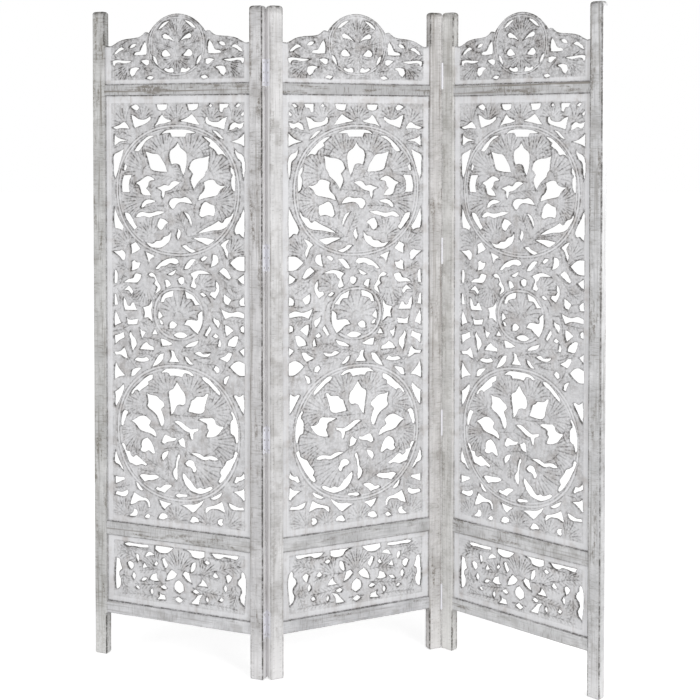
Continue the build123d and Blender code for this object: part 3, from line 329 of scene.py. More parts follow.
def front_outline(node, leaf):
    """Segments round a board's front face and its openings, as arrays of start and end points (x, z)."""
    data = frame["nodes"][node].data
    data.calc_loop_triangles()
    world = triples(data.vertices, "co", np.float32).astype(float)
    triangles = triples(data.loop_triangles, "vertices", np.int32)
    back = np.array(PLACES[leaf].inverted())
    local = (world @ back[:3, :3].T + back[:3, 3]) / MM
    on_front = local[:, 1] < FACE_TOLERANCE - BOARD_THICKNESS / 2
    triangles = triangles[on_front[triangles].all(axis=1)]
    places, welded = np.unique(np.round(local[:, (0, 2)], 3), axis=0, return_inverse=True)
    edges = free_edges([welded.reshape(-1)[triangles]], len(places))
    return places[edges[:, 0]], places[edges[:, 1]]


def free_edges(faces, count):
    """Directed edges of faces whose opposite isn't there: the rim of the surface."""
    sides = []
    for group in faces:
        corners = group.shape[1]
        sides += [group[:, (i, (i + 1) % corners)] for i in range(corners)]
    edges = np.concatenate(sides)
    there = edges[:, 0].astype(np.int64) * count + edges[:, 1]
    opposite = edges[:, 1].astype(np.int64) * count + edges[:, 0]
    return edges[~np.isin(there, opposite)]


def span_of(low, high, places):
    """Slice of the grid's places that takes in those from low to high."""
    first = max(0, int((low - places[0]) / GRID))
    return slice(first, max(first, min(len(places), int((high - places[0]) / GRID) + 2)))


def from_segment(a, b, xs, zs, reach):
    """Window of the grid within reach of a segment, and the distances from the segment there."""
    (ax, az), (bx, bz) = a, b
    across = span_of(min(ax, bx) - reach, max(ax, bx) + reach, xs)
    upward = span_of(min(az, bz) - reach, max(az, bz) + reach, zs)
    ux, uz = bx - ax, bz - az
    gx, gz = xs[None, across] - ax, zs[upward, None] - az
    share = np.clip((gx * ux + gz * uz) / max(ux * ux + uz * uz, 1e-9), 0.0, 1.0)
    return (upward, across), np.hypot(gx - share * ux, gz - share * uz)


def nearest(starts, ends, xs, zs):
    """Distance from each grid point to the nearest segment, up to the carving's reach."""
    field = np.full((len(zs), len(xs)), REACH)
    for a, b in zip(starts, ends):
        window, away = from_segment(a, b, xs, zs, REACH)
        field[window] = np.minimum(field[window], away)
    return field


def engraved(lines, xs, zs):
    """How deep the engraved lines are at each grid point: their own depth on them, nothing beside them."""
    field = np.zeros((len(zs), len(xs)))
    for ax, az, bx, bz, depth in lines:
        window, away = from_segment((ax, az), (bx, bz), xs, zs, CUT_HALF)
        field[window] = np.maximum(field[window], depth * np.clip(1.0 - away / CUT_HALF, 0.0, 1.0))
    return field


def polyline(points, depth):
    """Engraved line through the points, as segments x0, z0, x1, z1 and depth."""
    return [(*a, *b, depth) for a, b in zip(points, points[1:])]


def fan(x, z, toward, spread, near, far, petals):
    """Lines between the petals of a flower, a vein in each petal and an arc round the base."""
    def at(share, out):
        angle = math.radians(toward + spread * share + PETAL_CURL * share * out ** 2)
        radius = near + (far - near) * out
        return (x + radius * math.cos(angle), z + radius * math.sin(angle))

    lines = []
    for i in range(petals + 1):
        share = i / petals - 0.5
        lines += polyline([at(share, out) for out in (0.0, PETAL_ROOT)], ROOT_CUT)
        lines += polyline([at(share, out) for out in (PETAL_ROOT, 2 * PETAL_ROOT, 1.0)], PETAL_CUT)
        if i < petals:
            middle = share + 0.5 / petals
            lines += polyline([at(middle, out) for out in PETAL_VEIN], PETAL_VEIN_CUT)
    steps = np.linspace(-0.5, 0.5, petals + 1)
    return lines + polyline([at(share, 0.0) for share in steps], BASE_CUT)


def leaf_lines(points, width, veins):
    """Midrib of a leaf and the side veins that sweep toward its tip, longest across its widest part."""
    points = np.array(points, float)
    runs = np.hypot(*np.diff(points, axis=0).T)
    along = np.concatenate(([0.0], np.cumsum(runs)))

    def at(place):
        return np.array([np.interp(place, along, column) for column in points.T])

    lines = polyline([tuple(p) for p in points], MIDRIB_CUT)
    for i in range(veins):
        share = (i + FIRST_VEIN) / (veins + FIRST_VEIN)
        place = share * along[-1]
        x, z = at(place)
        ahead = min(place + HEADING_STEP, along[-1])
        dx, dz = at(ahead) - at(ahead - 2 * HEADING_STEP)
        heading = math.atan2(dz, dx)
        fullness = math.sqrt(max(math.sin(math.pi * (0.12 + 0.8 * share)), 0.05))
        reach = VEIN_REACH * width * fullness
        for side in (-1.0, 1.0):
            angle = heading + side * math.radians(VEIN_TURN)
            tip_x, tip_z = x + reach * math.cos(angle), z + reach * math.sin(angle)
            lines.append((x, z, tip_x, tip_z, VEIN_CUT))
    return lines


def carving_lines(board, flipped):
    """All engraved lines of a board, in the leaf's millimetres."""
    lines = []
    for flower in FANS[board]:
        lines += fan(*flower)
    for points, width, veins in FOLIAGE[board]:
        lines += leaf_lines(points, width, veins)
    if board == "main_board":
        for points in STEMS:
            lines += polyline(points, STEM_CUT)
    if board == "crest_board":
        middle = 2 * DRAWN_MIDDLE
        lines += [(middle - ax, az, middle - bx, bz, depth) for ax, az, bx, bz, depth in lines]
    across = -1.0 if flipped else 1.0

    def real(x):
        return LEAF_WIDTH / 2 + across * (x - DRAWN_MIDDLE)

    return [(real(ax), az, real(bx), bz, depth) for ax, az, bx, bz, depth in lines]


def in_wood(starts, ends, xs, zs):
    """True at the grid points inside the outline: an odd number of segments lie to their left."""
    crossed = np.zeros((len(zs), len(xs) + 1), bool)
    for (ax, az), (bx, bz) in zip(starts, ends):
        low, high = min(az, bz), max(az, bz)
        k0 = max(0, math.ceil((low - zs[0]) / GRID))
        k1 = min(len(zs), math.ceil((high - zs[0]) / GRID))
        for k in range(k0, k1):
            x = ax + (zs[k] - az) * (bx - ax) / (bz - az)
            crossed[k, min(max(math.ceil((x - xs[0]) / GRID), 0), len(xs))] ^= True
    return np.logical_xor.accumulate(crossed[:, :-1], axis=1)


def ellipse_offset(ring, dx, dz):
    """Signed distance, near enough, from a ring's outer edge: negative inside it."""
    cx, cz, rx, rz, _ = ring
    share = np.abs((dx - cx) / rx) ** RING_POWER + np.abs((dz - cz) / rz) ** RING_POWER
    return (share ** (1.0 / RING_POWER) - 1.0) * (rx + rz) / 2


def surface(board, xs, zs, flipped):
    """Depth of the carving below the face, and how dark the finish is, before the openings' edges."""
    spec = BOARDS[board]
    gx, gz = np.meshgrid(xs, zs)
    dx = LEAF_WIDTH - gx if flipped else gx
    dx = dx + DRAWN_MIDDLE - LEAF_WIDTH / 2
    left, right, low, high = spec["border"]
    outside = np.maximum.reduce([left - dx, dx - right, low - gz, gz - high])
    raised = smoothstep(*BORDER_SLOPE, outside)
    dark = np.exp(-(outside / BORDER_STAIN_WIDTH) ** 2) * BORDER_STAIN
    drop = np.zeros_like(dx)
    for ring in spec["rings"]:
        offset = ellipse_offset(ring, dx, gz)
        band = ring[4]
        inside_edge = smoothstep(-band - RING_SLOPE_OUT, -band + RING_SLOPE_IN, offset)
        raised = np.maximum(raised, inside_edge * smoothstep(RING_SLOPE_OUT, -RING_SLOPE_IN, offset))
        for share, strength in WIDE_RING_GROOVES if band >= WIDE_BAND else NARROW_RING_GROOVES:
            groove = np.clip(1.0 - np.abs(offset + share * band) / RING_GROOVE_HALF, 0.0, 1.0)
            drop = np.maximum(drop, strength * CUT_DROP * groove)
            dark = np.maximum(dark, strength * np.minimum(RING_STAIN * groove, 1.0))
    drop = np.maximum(drop, FOLIAGE_DROP * (1.0 - raised))
    cuts = engraved(carving_lines(board, flipped), xs, zs) * (1.0 - raised)
    drop = drop + CUT_DROP * cuts
    dark = np.maximum(dark, np.minimum(CUT_STAIN * cuts, 1.0))
    dark = np.maximum(dark, spec["ground"] * (1.0 - raised))
    span_low, span_high = spec["span"]
    seam = gz - span_low
    if board != "crest_board":
        seam = np.minimum.reduce([gx - STILE_WIDTH, LEAF_WIDTH - STILE_WIDTH - gx, seam, span_high - gz])
    return drop, np.maximum(dark, np.exp(-(np.maximum(seam, 0.0) / SEAM_STAIN_WIDTH) ** 2))


def board_grid(board):
    """Columns and rows of the grid that a board is carved on."""
    low, high = BOARDS[board]["span"]
    width = LEAF_WIDTH - 2 * STILE_WIDTH + 2 * EMBED
    columns = int(round(width / GRID))
    xs = STILE_WIDTH - EMBED + np.arange(columns + 1) * width / columns
    zs = np.arange(low - EMBED, high + EMBED + GRID, GRID) + ROW_NUDGE
    return xs, zs


def carved_edges(board, starts, ends):
    """True for the segments of the outline that aren't hidden in the grooves of stiles and rails."""
    low, high = BOARDS[board]["span"]
    x, z = ((starts + ends) / 2).T
    upright, level = (np.abs(starts - ends) < STRAIGHT_TOLERANCE).T
    at_side = upright & ((x < HIDDEN_SIDE) | (x > LEAF_WIDTH - HIDDEN_SIDE))
    at_foot = level & (z < low)
    at_top = level & (z > high) & (board != "crest_board")
    return ~(at_side | at_foot | at_top)


def with_crossings(fields, wood, distance):
    """Each field at the grid's points, then at the outline's crossings with the level and upright lines."""
    signed = np.where(wood, distance, -distance)
    neighbours = (
        ((slice(None), slice(0, -1)), (slice(None), slice(1, None))),
        ((slice(0, -1), slice(None)), (slice(1, None), slice(None))),
    )
    stacks = [[field.ravel()] for field in fields]
    for a, b in neighbours:
        change = signed[a] - signed[b]
        share = signed[a] / np.where(np.abs(change) < 1e-9, 1.0, change)
        share = np.clip(share, CELL_MARGIN, 1.0 - CELL_MARGIN)
        for stack, field in zip(stacks, fields):
            stack.append((field[a] * (1.0 - share) + field[b] * share).ravel())
    return [np.concatenate(stack) for stack in stacks]


# Corners of a cell are 0 to 3 and the points where the outline crosses its sides 4 to 7, anticlockwise.
# The key has a bit for each corner in the wood.
CELL_FACES = {
    1: [(0, 4, 7)], 2: [(1, 5, 4)], 3: [(0, 1, 5, 7)], 4: [(2, 6, 5)], 5: [(0, 4, 7), (2, 6, 5)],
    6: [(1, 2, 6, 4)], 7: [(0, 1, 2), (0, 2, 6, 7)], 8: [(3, 7, 6)], 9: [(0, 4, 6, 3)],
    10: [(1, 5, 4), (3, 7, 6)], 11: [(0, 1, 3), (1, 5, 6, 3)], 12: [(2, 3, 7, 5)],
    13: [(0, 2, 3), (0, 4, 5, 2)], 14: [(1, 2, 3), (1, 3, 7, 4)], 15: [(0, 1, 2, 3)],
}


def cell_points(rows, cols):
    """Numbers of the points of every cell, in the order of CELL_FACES."""
    ids = np.arange(rows * cols).reshape(rows, cols)
    across = rows * cols + np.arange(rows * (cols - 1)).reshape(rows, cols - 1)
    upright = across.max() + 1 + np.arange((rows - 1) * cols).reshape(rows - 1, cols)
    corners = [ids[:-1, :-1], ids[:-1, 1:], ids[1:, 1:], ids[1:, :-1]]
    return corners + [across[:-1], upright[:, 1:], across[1:], upright[:, :-1]]


def front_faces(wood, first, last):
    """Triangles and quads of the wood's front between two rows of cells."""
    key = wood[:-1, :-1] * 1 + wood[:-1, 1:] * 2 + wood[1:, 1:] * 4 + wood[1:, :-1] * 8
    points = cell_points(*wood.shape)
    groups = {3: [], 4: []}
    for bits, shapes in CELL_FACES.items():
        cells = key == bits
        cells[:first] = False
        cells[last:] = False
        for shape in shapes:
            groups[len(shape)].append(np.stack([points[c][cells] for c in shape], axis=1))
    return [np.concatenate(groups[3]), np.concatenate(groups[4])]


def closed_mesh(name, front, x, z, depth, dark):
    """Closed mesh of a part of a board: the front faces, the same behind, and walls round their rim."""
    used = np.unique(np.concatenate([face.ravel() for face in front]))
    count = len(used)
    order = np.zeros(len(x), np.int64)
    order[used] = np.arange(count)
    front = [order[face] for face in front]
    rim = free_edges(front, count)
    back = [face[:, ::-1] + count for face in front]
    walls = np.stack([rim[:, 1], rim[:, 0], rim[:, 0] + count, rim[:, 1] + count], axis=1)
    face_y = BOARD_THICKNESS / 2 - depth[used]
    points = np.concatenate([
        np.stack([x[used], -face_y, z[used]], axis=1),
        np.stack([x[used], face_y, z[used]], axis=1),
    ])
    return mesh_from(name, points, [*front, *back, walls], {"patina_and_shade": np.tile(dark[used], 2)})


def carved_meshes(board, leaf):
    """The board as closed meshes, one above the other, carved on both faces."""
    spec = BOARDS[board]
    low, high = spec["span"]
    xs, zs = board_grid(board)
    starts, ends = front_outline(f"{leaf}_{board}", leaf)
    wood = in_wood(starts, ends, xs, zs)
    carved = carved_edges(board, starts, ends)
    distance = nearest(starts[carved], ends[carved], xs, zs)
    drop, dark = surface(board, xs, zs, leaf == FLIPPED_LEAF)
    x, z, drop, dark = with_crossings([*np.meshgrid(xs, zs), drop, dark], wood, distance)
    from_edge = np.zeros(len(x))
    from_edge[:wood.size] = distance.ravel()

    rounded = EDGE_ROUND - np.sqrt(EDGE_ROUND ** 2 - (EDGE_ROUND - np.minimum(from_edge, EDGE_ROUND)) ** 2)
    domed = DOME_DROP * (1.0 - smoothstep(0.0, DOME_WIDTH, from_edge))
    depth = drop + rounded + domed
    stain = spec["stain"] * (1.0 - spec["fade"] * (high - z) / (high - low))
    # Dark along the openings' edges and over their walls: residue, and painted shade on the walls.
    dark = stain * np.maximum(dark, np.exp(-(from_edge / EDGE_STAIN_AND_SHADE_WIDTH) ** 2))

    meshes = []
    parts = spec["parts"]
    cell_rows = len(zs) - 1
    for part in range(parts):
        front = front_faces(wood, cell_rows * part // parts, cell_rows * (part + 1) // parts)
        name = f"{leaf}_{board}_{part + 1}" if parts > 1 else f"{leaf}_{board}"
        meshes.append(closed_mesh(name, front, x, z, depth, dark))
    return meshes


# ---- Stiles and rails ----
# A rounded corner takes at most this share of half the bar's width or thickness.
CORNER_SHARE = 0.9

STILE_CORNER = 1.6
STILE_COLUMNS = 15
SIDE_STEPS = 5
TOP_ROUND = 8.0
FOOT_ROUND = 5.0

# Rows of points above the foot, below the top, and from the start of each notch, with its floor marked.
FOOT_ROWS = (0.0, 0.5, 1.4, 2.8, 5.0)
TOP_ROWS = (8.0, 5.0, 2.8, 1.3, 0.4, 0.0)
NOTCH_ROWS = (0.0, 1.4, 2.8, 6.5)
NOTCHED_ROWS = (False, True, False, False)

# Two columns of small notches, of uneven strength and a little uneven pitch.
FIRST_NOTCH = 9.0
NOTCH_PITCH = 11.2
NOTCH_UNEVENNESS = (0.93, 1.07)
NOTCH_STRENGTH = (0.35, 1.0)
NOTCH_DEPTH = 0.8
NOTCH_COLUMNS = (-10.5, 10.0)
NOTCH_HALF = 2.6

# Along a bar, its two sides and its faces wander: pace and size of each.
STILE_DRIFT = ((60.0, 0.5), (47.0, 0.5), (83.0, 0.35))
RAIL_DRIFT = ((30.0, 0.8), (24.0, 0.4), (40.0, 0.3))

# The hollow for each hinge's barrel, and the crisp corner beside the pins, which nearly closes the gap.
HOLLOW_HALF = 37.7
HOLLOW_RADIUS = 3.3
HOLLOW_STEP = 0.1
LIP = 0.45

# Residue in notches, on the bare inner sides of legs and tops, along their corners and toward the top end.
NOTCH_STAIN = 0.8
SIDE_STAIN = 0.3
CORNER_STAIN = 1.2
END_STAIN = 1.1
END_STAINED = (14.0, 2.0)

# How much lighter the stiles are painted at the floor, and the height up to which that fades.
FOOT_LIGHTENING = 0.5
FOOT_LIGHTENED_TO = 190.0

RAIL_CORNER = 2.0
RAIL_COLUMNS = 9
RAIL_ROWS = 93
RAIL_CORNER_STAIN = 0.7
RAIL_SIDE_STAIN = 0.9

# Finish of a stile. Pins: where the hinge pins stand through the thickness, or 0 without hinges. Corner
# and edge: how dark the outer front corner and the outer side are painted; beside the hinges this is painted
# shade that makes the joint between the leaves read dark, on the right leaf's free edge it is residue. Seam:
# how dark the inner front corner is. The lightening pair: how much lighter the outer side is painted at the
# foot and at the top, painted light on side faces in the joint and where the lamp falls on the right leaf's
# free edge. Rubbed: how far the wash is rubbed off. Tint: what is added to its red, green and blue.
PLAIN_STILE = {"pins": 0.0, "corner": 0.0, "edge": 0.0, "seam": 0.0, "lightening": (0.0, 0.0)}
STILES = {
    "left_left_stile": {"rubbed": 1.5, "tint": (-3, -3, -5)},
    "left_right_stile": {
        "pins": PIN_PROUD, "corner": 1.5, "lightening": (0.3, 0.3), "rubbed": 1.1, "tint": (-2, -3, -3),
    },
    "centre_left_stile": {
        "pins": PIN_PROUD, "corner": 0.35, "lightening": (0.85, 0.85), "rubbed": 0.6, "tint": (0, -1, -2),
    },
    "centre_right_stile": {
        "pins": -PIN_PROUD, "corner": 0.7, "edge": 0.6, "rubbed": 1.05, "tint": (1, -1, -3),
    },
    "right_left_stile": {
        "pins": -PIN_PROUD, "corner": 0.8, "edge": 0.6, "rubbed": 0.65, "tint": (-4, -5, -8),
    },
    "right_right_stile": {
        "corner": 1.0, "seam": 1.1, "lightening": (-0.9, 1.2), "rubbed": 1.1, "tint": (-4, -4, -4),
    },
}

RAILS_RUBBED = {"bottom_rail": 1.1, "middle_rail": 1.3, "top_rail": 2.0}
# Colour added to some rails; the centre leaf's rails are painted darker, painted shade against the stronger
# lamp light on that leaf.
RAIL_TINTS_AND_SHADE = {
    "left_bottom_rail": (4, 4, 5),
    "centre_bottom_rail": (-3, -3, -2),
    "centre_middle_rail": (-6, -6, -6),
    "centre_top_rail": (-7, -7, -7),
}


def section(column_count):
    """Points round a bar: (share of half width, share of half thickness, normal across, normal through)."""
    turns = [math.radians(a) for a in (22.5, 45.0, 67.5)]
    half = [(fx, -1.0, 0.0, -1.0) for fx in np.linspace(-1.0, 1.0, column_count)]
    half += [(1.0, -1.0, math.sin(a), -math.cos(a)) for a in turns]
    half += [(1.0, fy, 1.0, 0.0) for fy in np.linspace(-1.0, 1.0, SIDE_STEPS)]
    half += [(1.0, 1.0, math.cos(a), math.sin(a)) for a in turns]
    return np.concatenate([half, np.negative(half)])


def bar(rows, inset, half_width, half_thick, ring, corner, sink, trims):
    """Points of a bar row by row: across, along, through. Sink pushes points in, trims move the sides."""
    fx, fy, nx, ny = ring.T
    points = []
    for along, drawn_in, sunk, trim in zip(rows, inset, sink, trims):
        width, thick = half_width - drawn_in, half_thick - drawn_in
        radius = min(corner, width * CORNER_SHARE, thick * CORNER_SHARE)
        across = fx * (width - radius) + nx * radius
        across = np.where(nx < 0, across + trim[0], across - trim[1] * (nx > 0))
        through = fy * (thick - radius) + ny * radius
        through = through - np.sign(fy) * np.abs(ny) * (sunk + trim[2])
        points.append(np.stack([across, np.full(len(fx), along), through], axis=1))
    return np.concatenate(points)


def bar_faces(row_count, ring_count):
    """Quads round a bar and one cap at each end."""
    k, j = np.meshgrid(np.arange(row_count - 1), np.arange(ring_count), indexing="ij")
    k, j = k.ravel(), j.ravel()
    after = (j + 1) % ring_count
    here, ahead = k * ring_count, (k + 1) * ring_count
    quads = np.stack([here + j, here + after, ahead + after, ahead + j], axis=1)
    foot = np.arange(ring_count)[::-1][None, :]
    top = (row_count - 1) * ring_count + np.arange(ring_count)[None, :]
    return [quads, foot, top]


def drifts(rng, rows, paces):
    """Slow random offsets along a bar, one column for each pace and size, from 0 to that size."""
    columns = []
    for pace, size in paces:
        knots = np.arange(rows[0] - pace, rows[-1] + 2 * pace, pace)
        columns.append(np.interp(rows, knots, rng.random(len(knots)) * size))
    return np.stack(columns, axis=1)


def stile_rows(rng, hinged):
    """Heights of the rows of points up a stile, and which rows are the floor of a notch."""
    rows = list(FOOT_ROWS)
    notched = [False] * len(FOOT_ROWS)
    z = FIRST_NOTCH
    while z < LEAF_HEIGHT - TOP_ROUND - NOTCH_PITCH:
        rows += [z + step for step in NOTCH_ROWS]
        notched += NOTCHED_ROWS
        z += NOTCH_PITCH * rng.uniform(*NOTCH_UNEVENNESS)
    rows += [LEAF_HEIGHT - below for below in TOP_ROWS]
    notched += [False] * len(TOP_ROWS)
    if hinged:
        ends = [end * (HOLLOW_HALF + step) for end in (-1.0, 1.0) for step in (-HOLLOW_STEP, HOLLOW_STEP)]
        rows += [height + end for height in HINGE_HEIGHTS for end in ends]
        notched += [False] * (len(HINGE_HEIGHTS) * len(ends))
    order = np.argsort(rows)
    return np.array(rows)[order], np.array(notched)[order]


def notch_marks(ring):
    """How deep the notches go at each point round a stile, from 0 to 1."""
    x = ring[:, 0] * (STILE_WIDTH / 2 - STILE_CORNER)
    marks = np.zeros(len(ring))
    for centre in NOTCH_COLUMNS:
        marks = np.maximum(marks, np.clip(1.0 - np.abs(x - centre) / NOTCH_HALF, 0.0, 1.0) ** 0.5)
    on_face = np.abs(ring[:, 3]) > 0.99
    return marks * on_face


def end_inset(rows):
    """How far the sides draw in at the rounded ends."""
    inset = np.zeros(len(rows))
    for radius, from_end in ((TOP_ROUND, LEAF_HEIGHT - rows), (FOOT_ROUND, rows)):
        near = np.clip(radius - from_end, 0.0, radius)
        inset += radius - np.sqrt(radius ** 2 - near ** 2)
    return inset


def sharpen_pin_corner(points, ring, inset, inner, pins_at):
    """Makes the corner beside the hinge pins crisp."""
    side = np.sign(pins_at)
    lip = (ring[:, 0] == -inner) & (ring[:, 1] == side)
    by_row = points.reshape(len(inset), len(ring), 3)
    by_row[:, lip, 0] = -inner * (STILE_WIDTH / 2 - inset[:, None]) + LIP * ring[None, lip, 2]
    by_row[:, lip, 2] = side * (STILE_THICKNESS / 2 - inset[:, None]) + LIP * ring[None, lip, 3]


def hollow_for_barrels(points, inner, pins_at):
    """Pushes the corner beside the hinge pins back from the barrels."""
    pin = np.array([-inner * (STILE_WIDTH / 2 + PIN_OUT), pins_at])
    beside = np.abs(points[:, 1, None] - np.array(HINGE_HEIGHTS)[None, :]).min(axis=1) < HOLLOW_HALF
    away = points[:, (0, 2)] - pin
    reach = np.hypot(*away.T)
    push = np.where(beside & (reach < HOLLOW_RADIUS), HOLLOW_RADIUS / np.maximum(reach, 1e-6), 1.0)
    points[:, (0, 2)] = pin + away * push[:, None]


def front_corner(ring, side):
    """True for the points of the front corner on one side, -1 or +1."""
    return (ring[:, 0] == side) & (ring[:, 1] == -1.0)


def stile_residue_and_shade(rows, ring, inner, finish):
    """How dark a stile is painted at each point, without its notches: residue, and painted shade by the
    hinges.
    """
    bare_rows = (rows < RAILS["bottom_rail"][0]) | (rows > CREST_END)
    inner_corners = (ring[:, 0] == inner) & (np.abs(ring[:, 1]) == 1.0)
    inward = np.where(inner_corners, CORNER_STAIN, SIDE_STAIN * np.clip(ring[:, 2] * inner, 0.0, 1.0))
    # Painted shade: beside the hinges the outer side and outer front corner are painted dark, so the joint
    # reads dark.
    all_along = finish["edge"] * np.clip(-ring[:, 2] * inner, 0.0, 1.0)
    all_along[front_corner(ring, -inner)] = finish["corner"]
    all_along[front_corner(ring, inner)] = finish["seam"]
    stained = np.maximum(bare_rows[:, None] * inward[None, :], all_along[None, :])
    return np.maximum(stained, END_STAIN * smoothstep(*END_STAINED, LEAF_HEIGHT - rows)[:, None])


def stile_lightening(rows, ring, inner, finish):
    """How much lighter a stile is painted at each point: painted light on its outer side, lighter low down.
    """
    outward = np.clip(-ring[:, 2] * inner, 0.0, 1.0) * ~front_corner(ring, -inner)
    at_foot, at_top = finish["lightening"]
    height = np.clip(rows / LEAF_HEIGHT, 0.0, 1.0)
    on_edge = np.clip(at_foot + (at_top - at_foot) * height, 0.0, 1.0)[:, None] * outward[None, :]
    return np.maximum(on_edge, FOOT_LIGHTENING * smoothstep(FOOT_LIGHTENED_TO, 0.0, rows)[:, None])


def stile_mesh(name, seed, inner, finish):
    """Upright with rounded ends and two columns of small notches on its front and back.

    The inner side is +1 or -1 across. Where no rail or board meets it, dark residue lies along its corners.
    """
    rng = np.random.default_rng(seed)
    pins_at = finish["pins"]
    rows, notched = stile_rows(rng, pins_at != 0.0)
    ring = section(STILE_COLUMNS)
    strength = rng.uniform(*NOTCH_STRENGTH, len(rows))
    notches = notch_marks(ring)[None, :] * (strength * notched)[:, None]
    trims = drifts(rng, rows, STILE_DRIFT)
    inset = end_inset(rows)
    half_width, half_thick = STILE_WIDTH / 2, STILE_THICKNESS / 2
    points = bar(rows, inset, half_width, half_thick, ring, STILE_CORNER, NOTCH_DEPTH * notches, trims)
    if pins_at:
        sharpen_pin_corner(points, ring, inset, inner, pins_at)
        hollow_for_barrels(points, inner, pins_at)
    dark = np.maximum(NOTCH_STAIN * notches, stile_residue_and_shade(rows, ring, inner, finish))
    lightening = stile_lightening(rows, ring, inner, finish)
    local = np.stack([points[:, 0] + half_width, points[:, 2], points[:, 1]], axis=1)
    fields = {"patina_and_shade": dark.ravel(), "lightening": lightening.ravel()}
    return mesh_from(name, local, bar_faces(len(rows), len(ring)), fields)


def rail_mesh(name, seed, low, high):
    """Cross rail between the stiles, with softened, slightly uneven long edges."""
    rng = np.random.default_rng(seed)
    rows = np.linspace(STILE_WIDTH - EMBED, LEAF_WIDTH - STILE_WIDTH + EMBED, RAIL_ROWS)
    ring = section(RAIL_COLUMNS)
    flat = np.zeros(len(rows))
    trims = drifts(rng, rows, RAIL_DRIFT)
    points = bar(rows, flat, (high - low) / 2, RAIL_THICKNESS / 2, ring, RAIL_CORNER, flat, trims)
    corner = (np.abs(ring[:, 2]) > 0.3) & (np.abs(ring[:, 3]) > 0.3)
    side = np.abs(ring[:, 2]) > 0.99
    dark = np.tile(np.maximum(RAIL_CORNER_STAIN * corner, RAIL_SIDE_STAIN * side), len(rows))
    local = np.stack([points[:, 1], points[:, 2], (low + high) / 2 + points[:, 0]], axis=1)
    faces = [group[:, ::-1] for group in bar_faces(len(rows), len(ring))]
    return mesh_from(name, local, faces, {"patina_and_shade": dark})


# ---- Materials ----
def srgb(r, g, b):
    """Linear colour of an sRGB one given from 0 to 255."""
    levels = []
    for value in (r, g, b):
        share = value / 255.0
        levels.append(share / 12.92 if share <= 0.04045 else ((share + 0.055) / 1.055) ** 2.4)
    return (*levels, 1.0)


class Nodes:
    """Small helper that adds shader nodes to a material or a world and links them."""

    def __init__(self, owner, shader):
        owner.use_nodes = True
        self.tree = owner.node_tree
        self.shader = self.tree.nodes[shader]

    def feed(self, node, inputs):
        for key, value in inputs.items():
            if isinstance(value, bpy.types.NodeSocket):
                self.tree.links.new(value, node.inputs[key])
            else:
                node.inputs[key].default_value = value

    def add(self, kind, inputs, **settings):
        node = self.tree.nodes.new(kind)
        for key, value in settings.items():
            setattr(node, key, value)
        self.feed(node, inputs)
        return node

    def place(self):
        return self.add("ShaderNodeTexCoord", {}).outputs["Object"]

    def noise(self, place, scale, size, detail, rough):
        mapped = self.add("ShaderNodeMapping", {"Vector": place, "Scale": scale}).outputs[0]
        settings = {"Vector": mapped, "Scale": size, "Detail": detail, "Roughness": rough}
        return self.add("ShaderNodeTexNoise", settings).outputs["Fac"]

    def remap(self, value, low, high, to_low=0.0, to_high=1.0):
        ends = {"Value": value, "From Min": low, "From Max": high, "To Min": to_low, "To Max": to_high}
        return self.add("ShaderNodeMapRange", ends).outputs["Result"]

    def math(self, operation, a, b):
        return self.add("ShaderNodeMath", {0: a, 1: b}, operation=operation, use_clamp=True).outputs[0]

    def mix(self, share, a, b):
        made = self.add("ShaderNodeMix", {"Factor": share, "A": a, "B": b}, data_type="RGBA")
        return made.outputs["Result"]

    def field(self, name):
        return self.add("ShaderNodeAttribute", {}, attribute_name=name).outputs["Fac"]

    def bump(self, strength, distance, height):
        made = self.add("ShaderNodeBump", {"Strength": strength, "Distance": distance, "Height": height})
        return made.outputs[0]


# Scales of the wood's textures where the grain runs along x and where it runs along z. A small scale
# stretches the texture that way. Marks are the saw's, across the grain.
EVEN = (1.0, 1.0, 1.0)
GRAIN = {
    "x": {"fine": (0.035, 1.0, 1.0), "line": (0.02, 1.0, 1.0), "streak": (0.16, 1.0, 1.0),
          "marks": (1.0, 1.0, 0.12)},
    "z": {"fine": (1.0, 1.0, 0.035), "line": (1.0, 1.0, 0.02), "streak": (1.0, 1.0, 0.16),
          "marks": (0.12, 0.12, 1.0)},
}


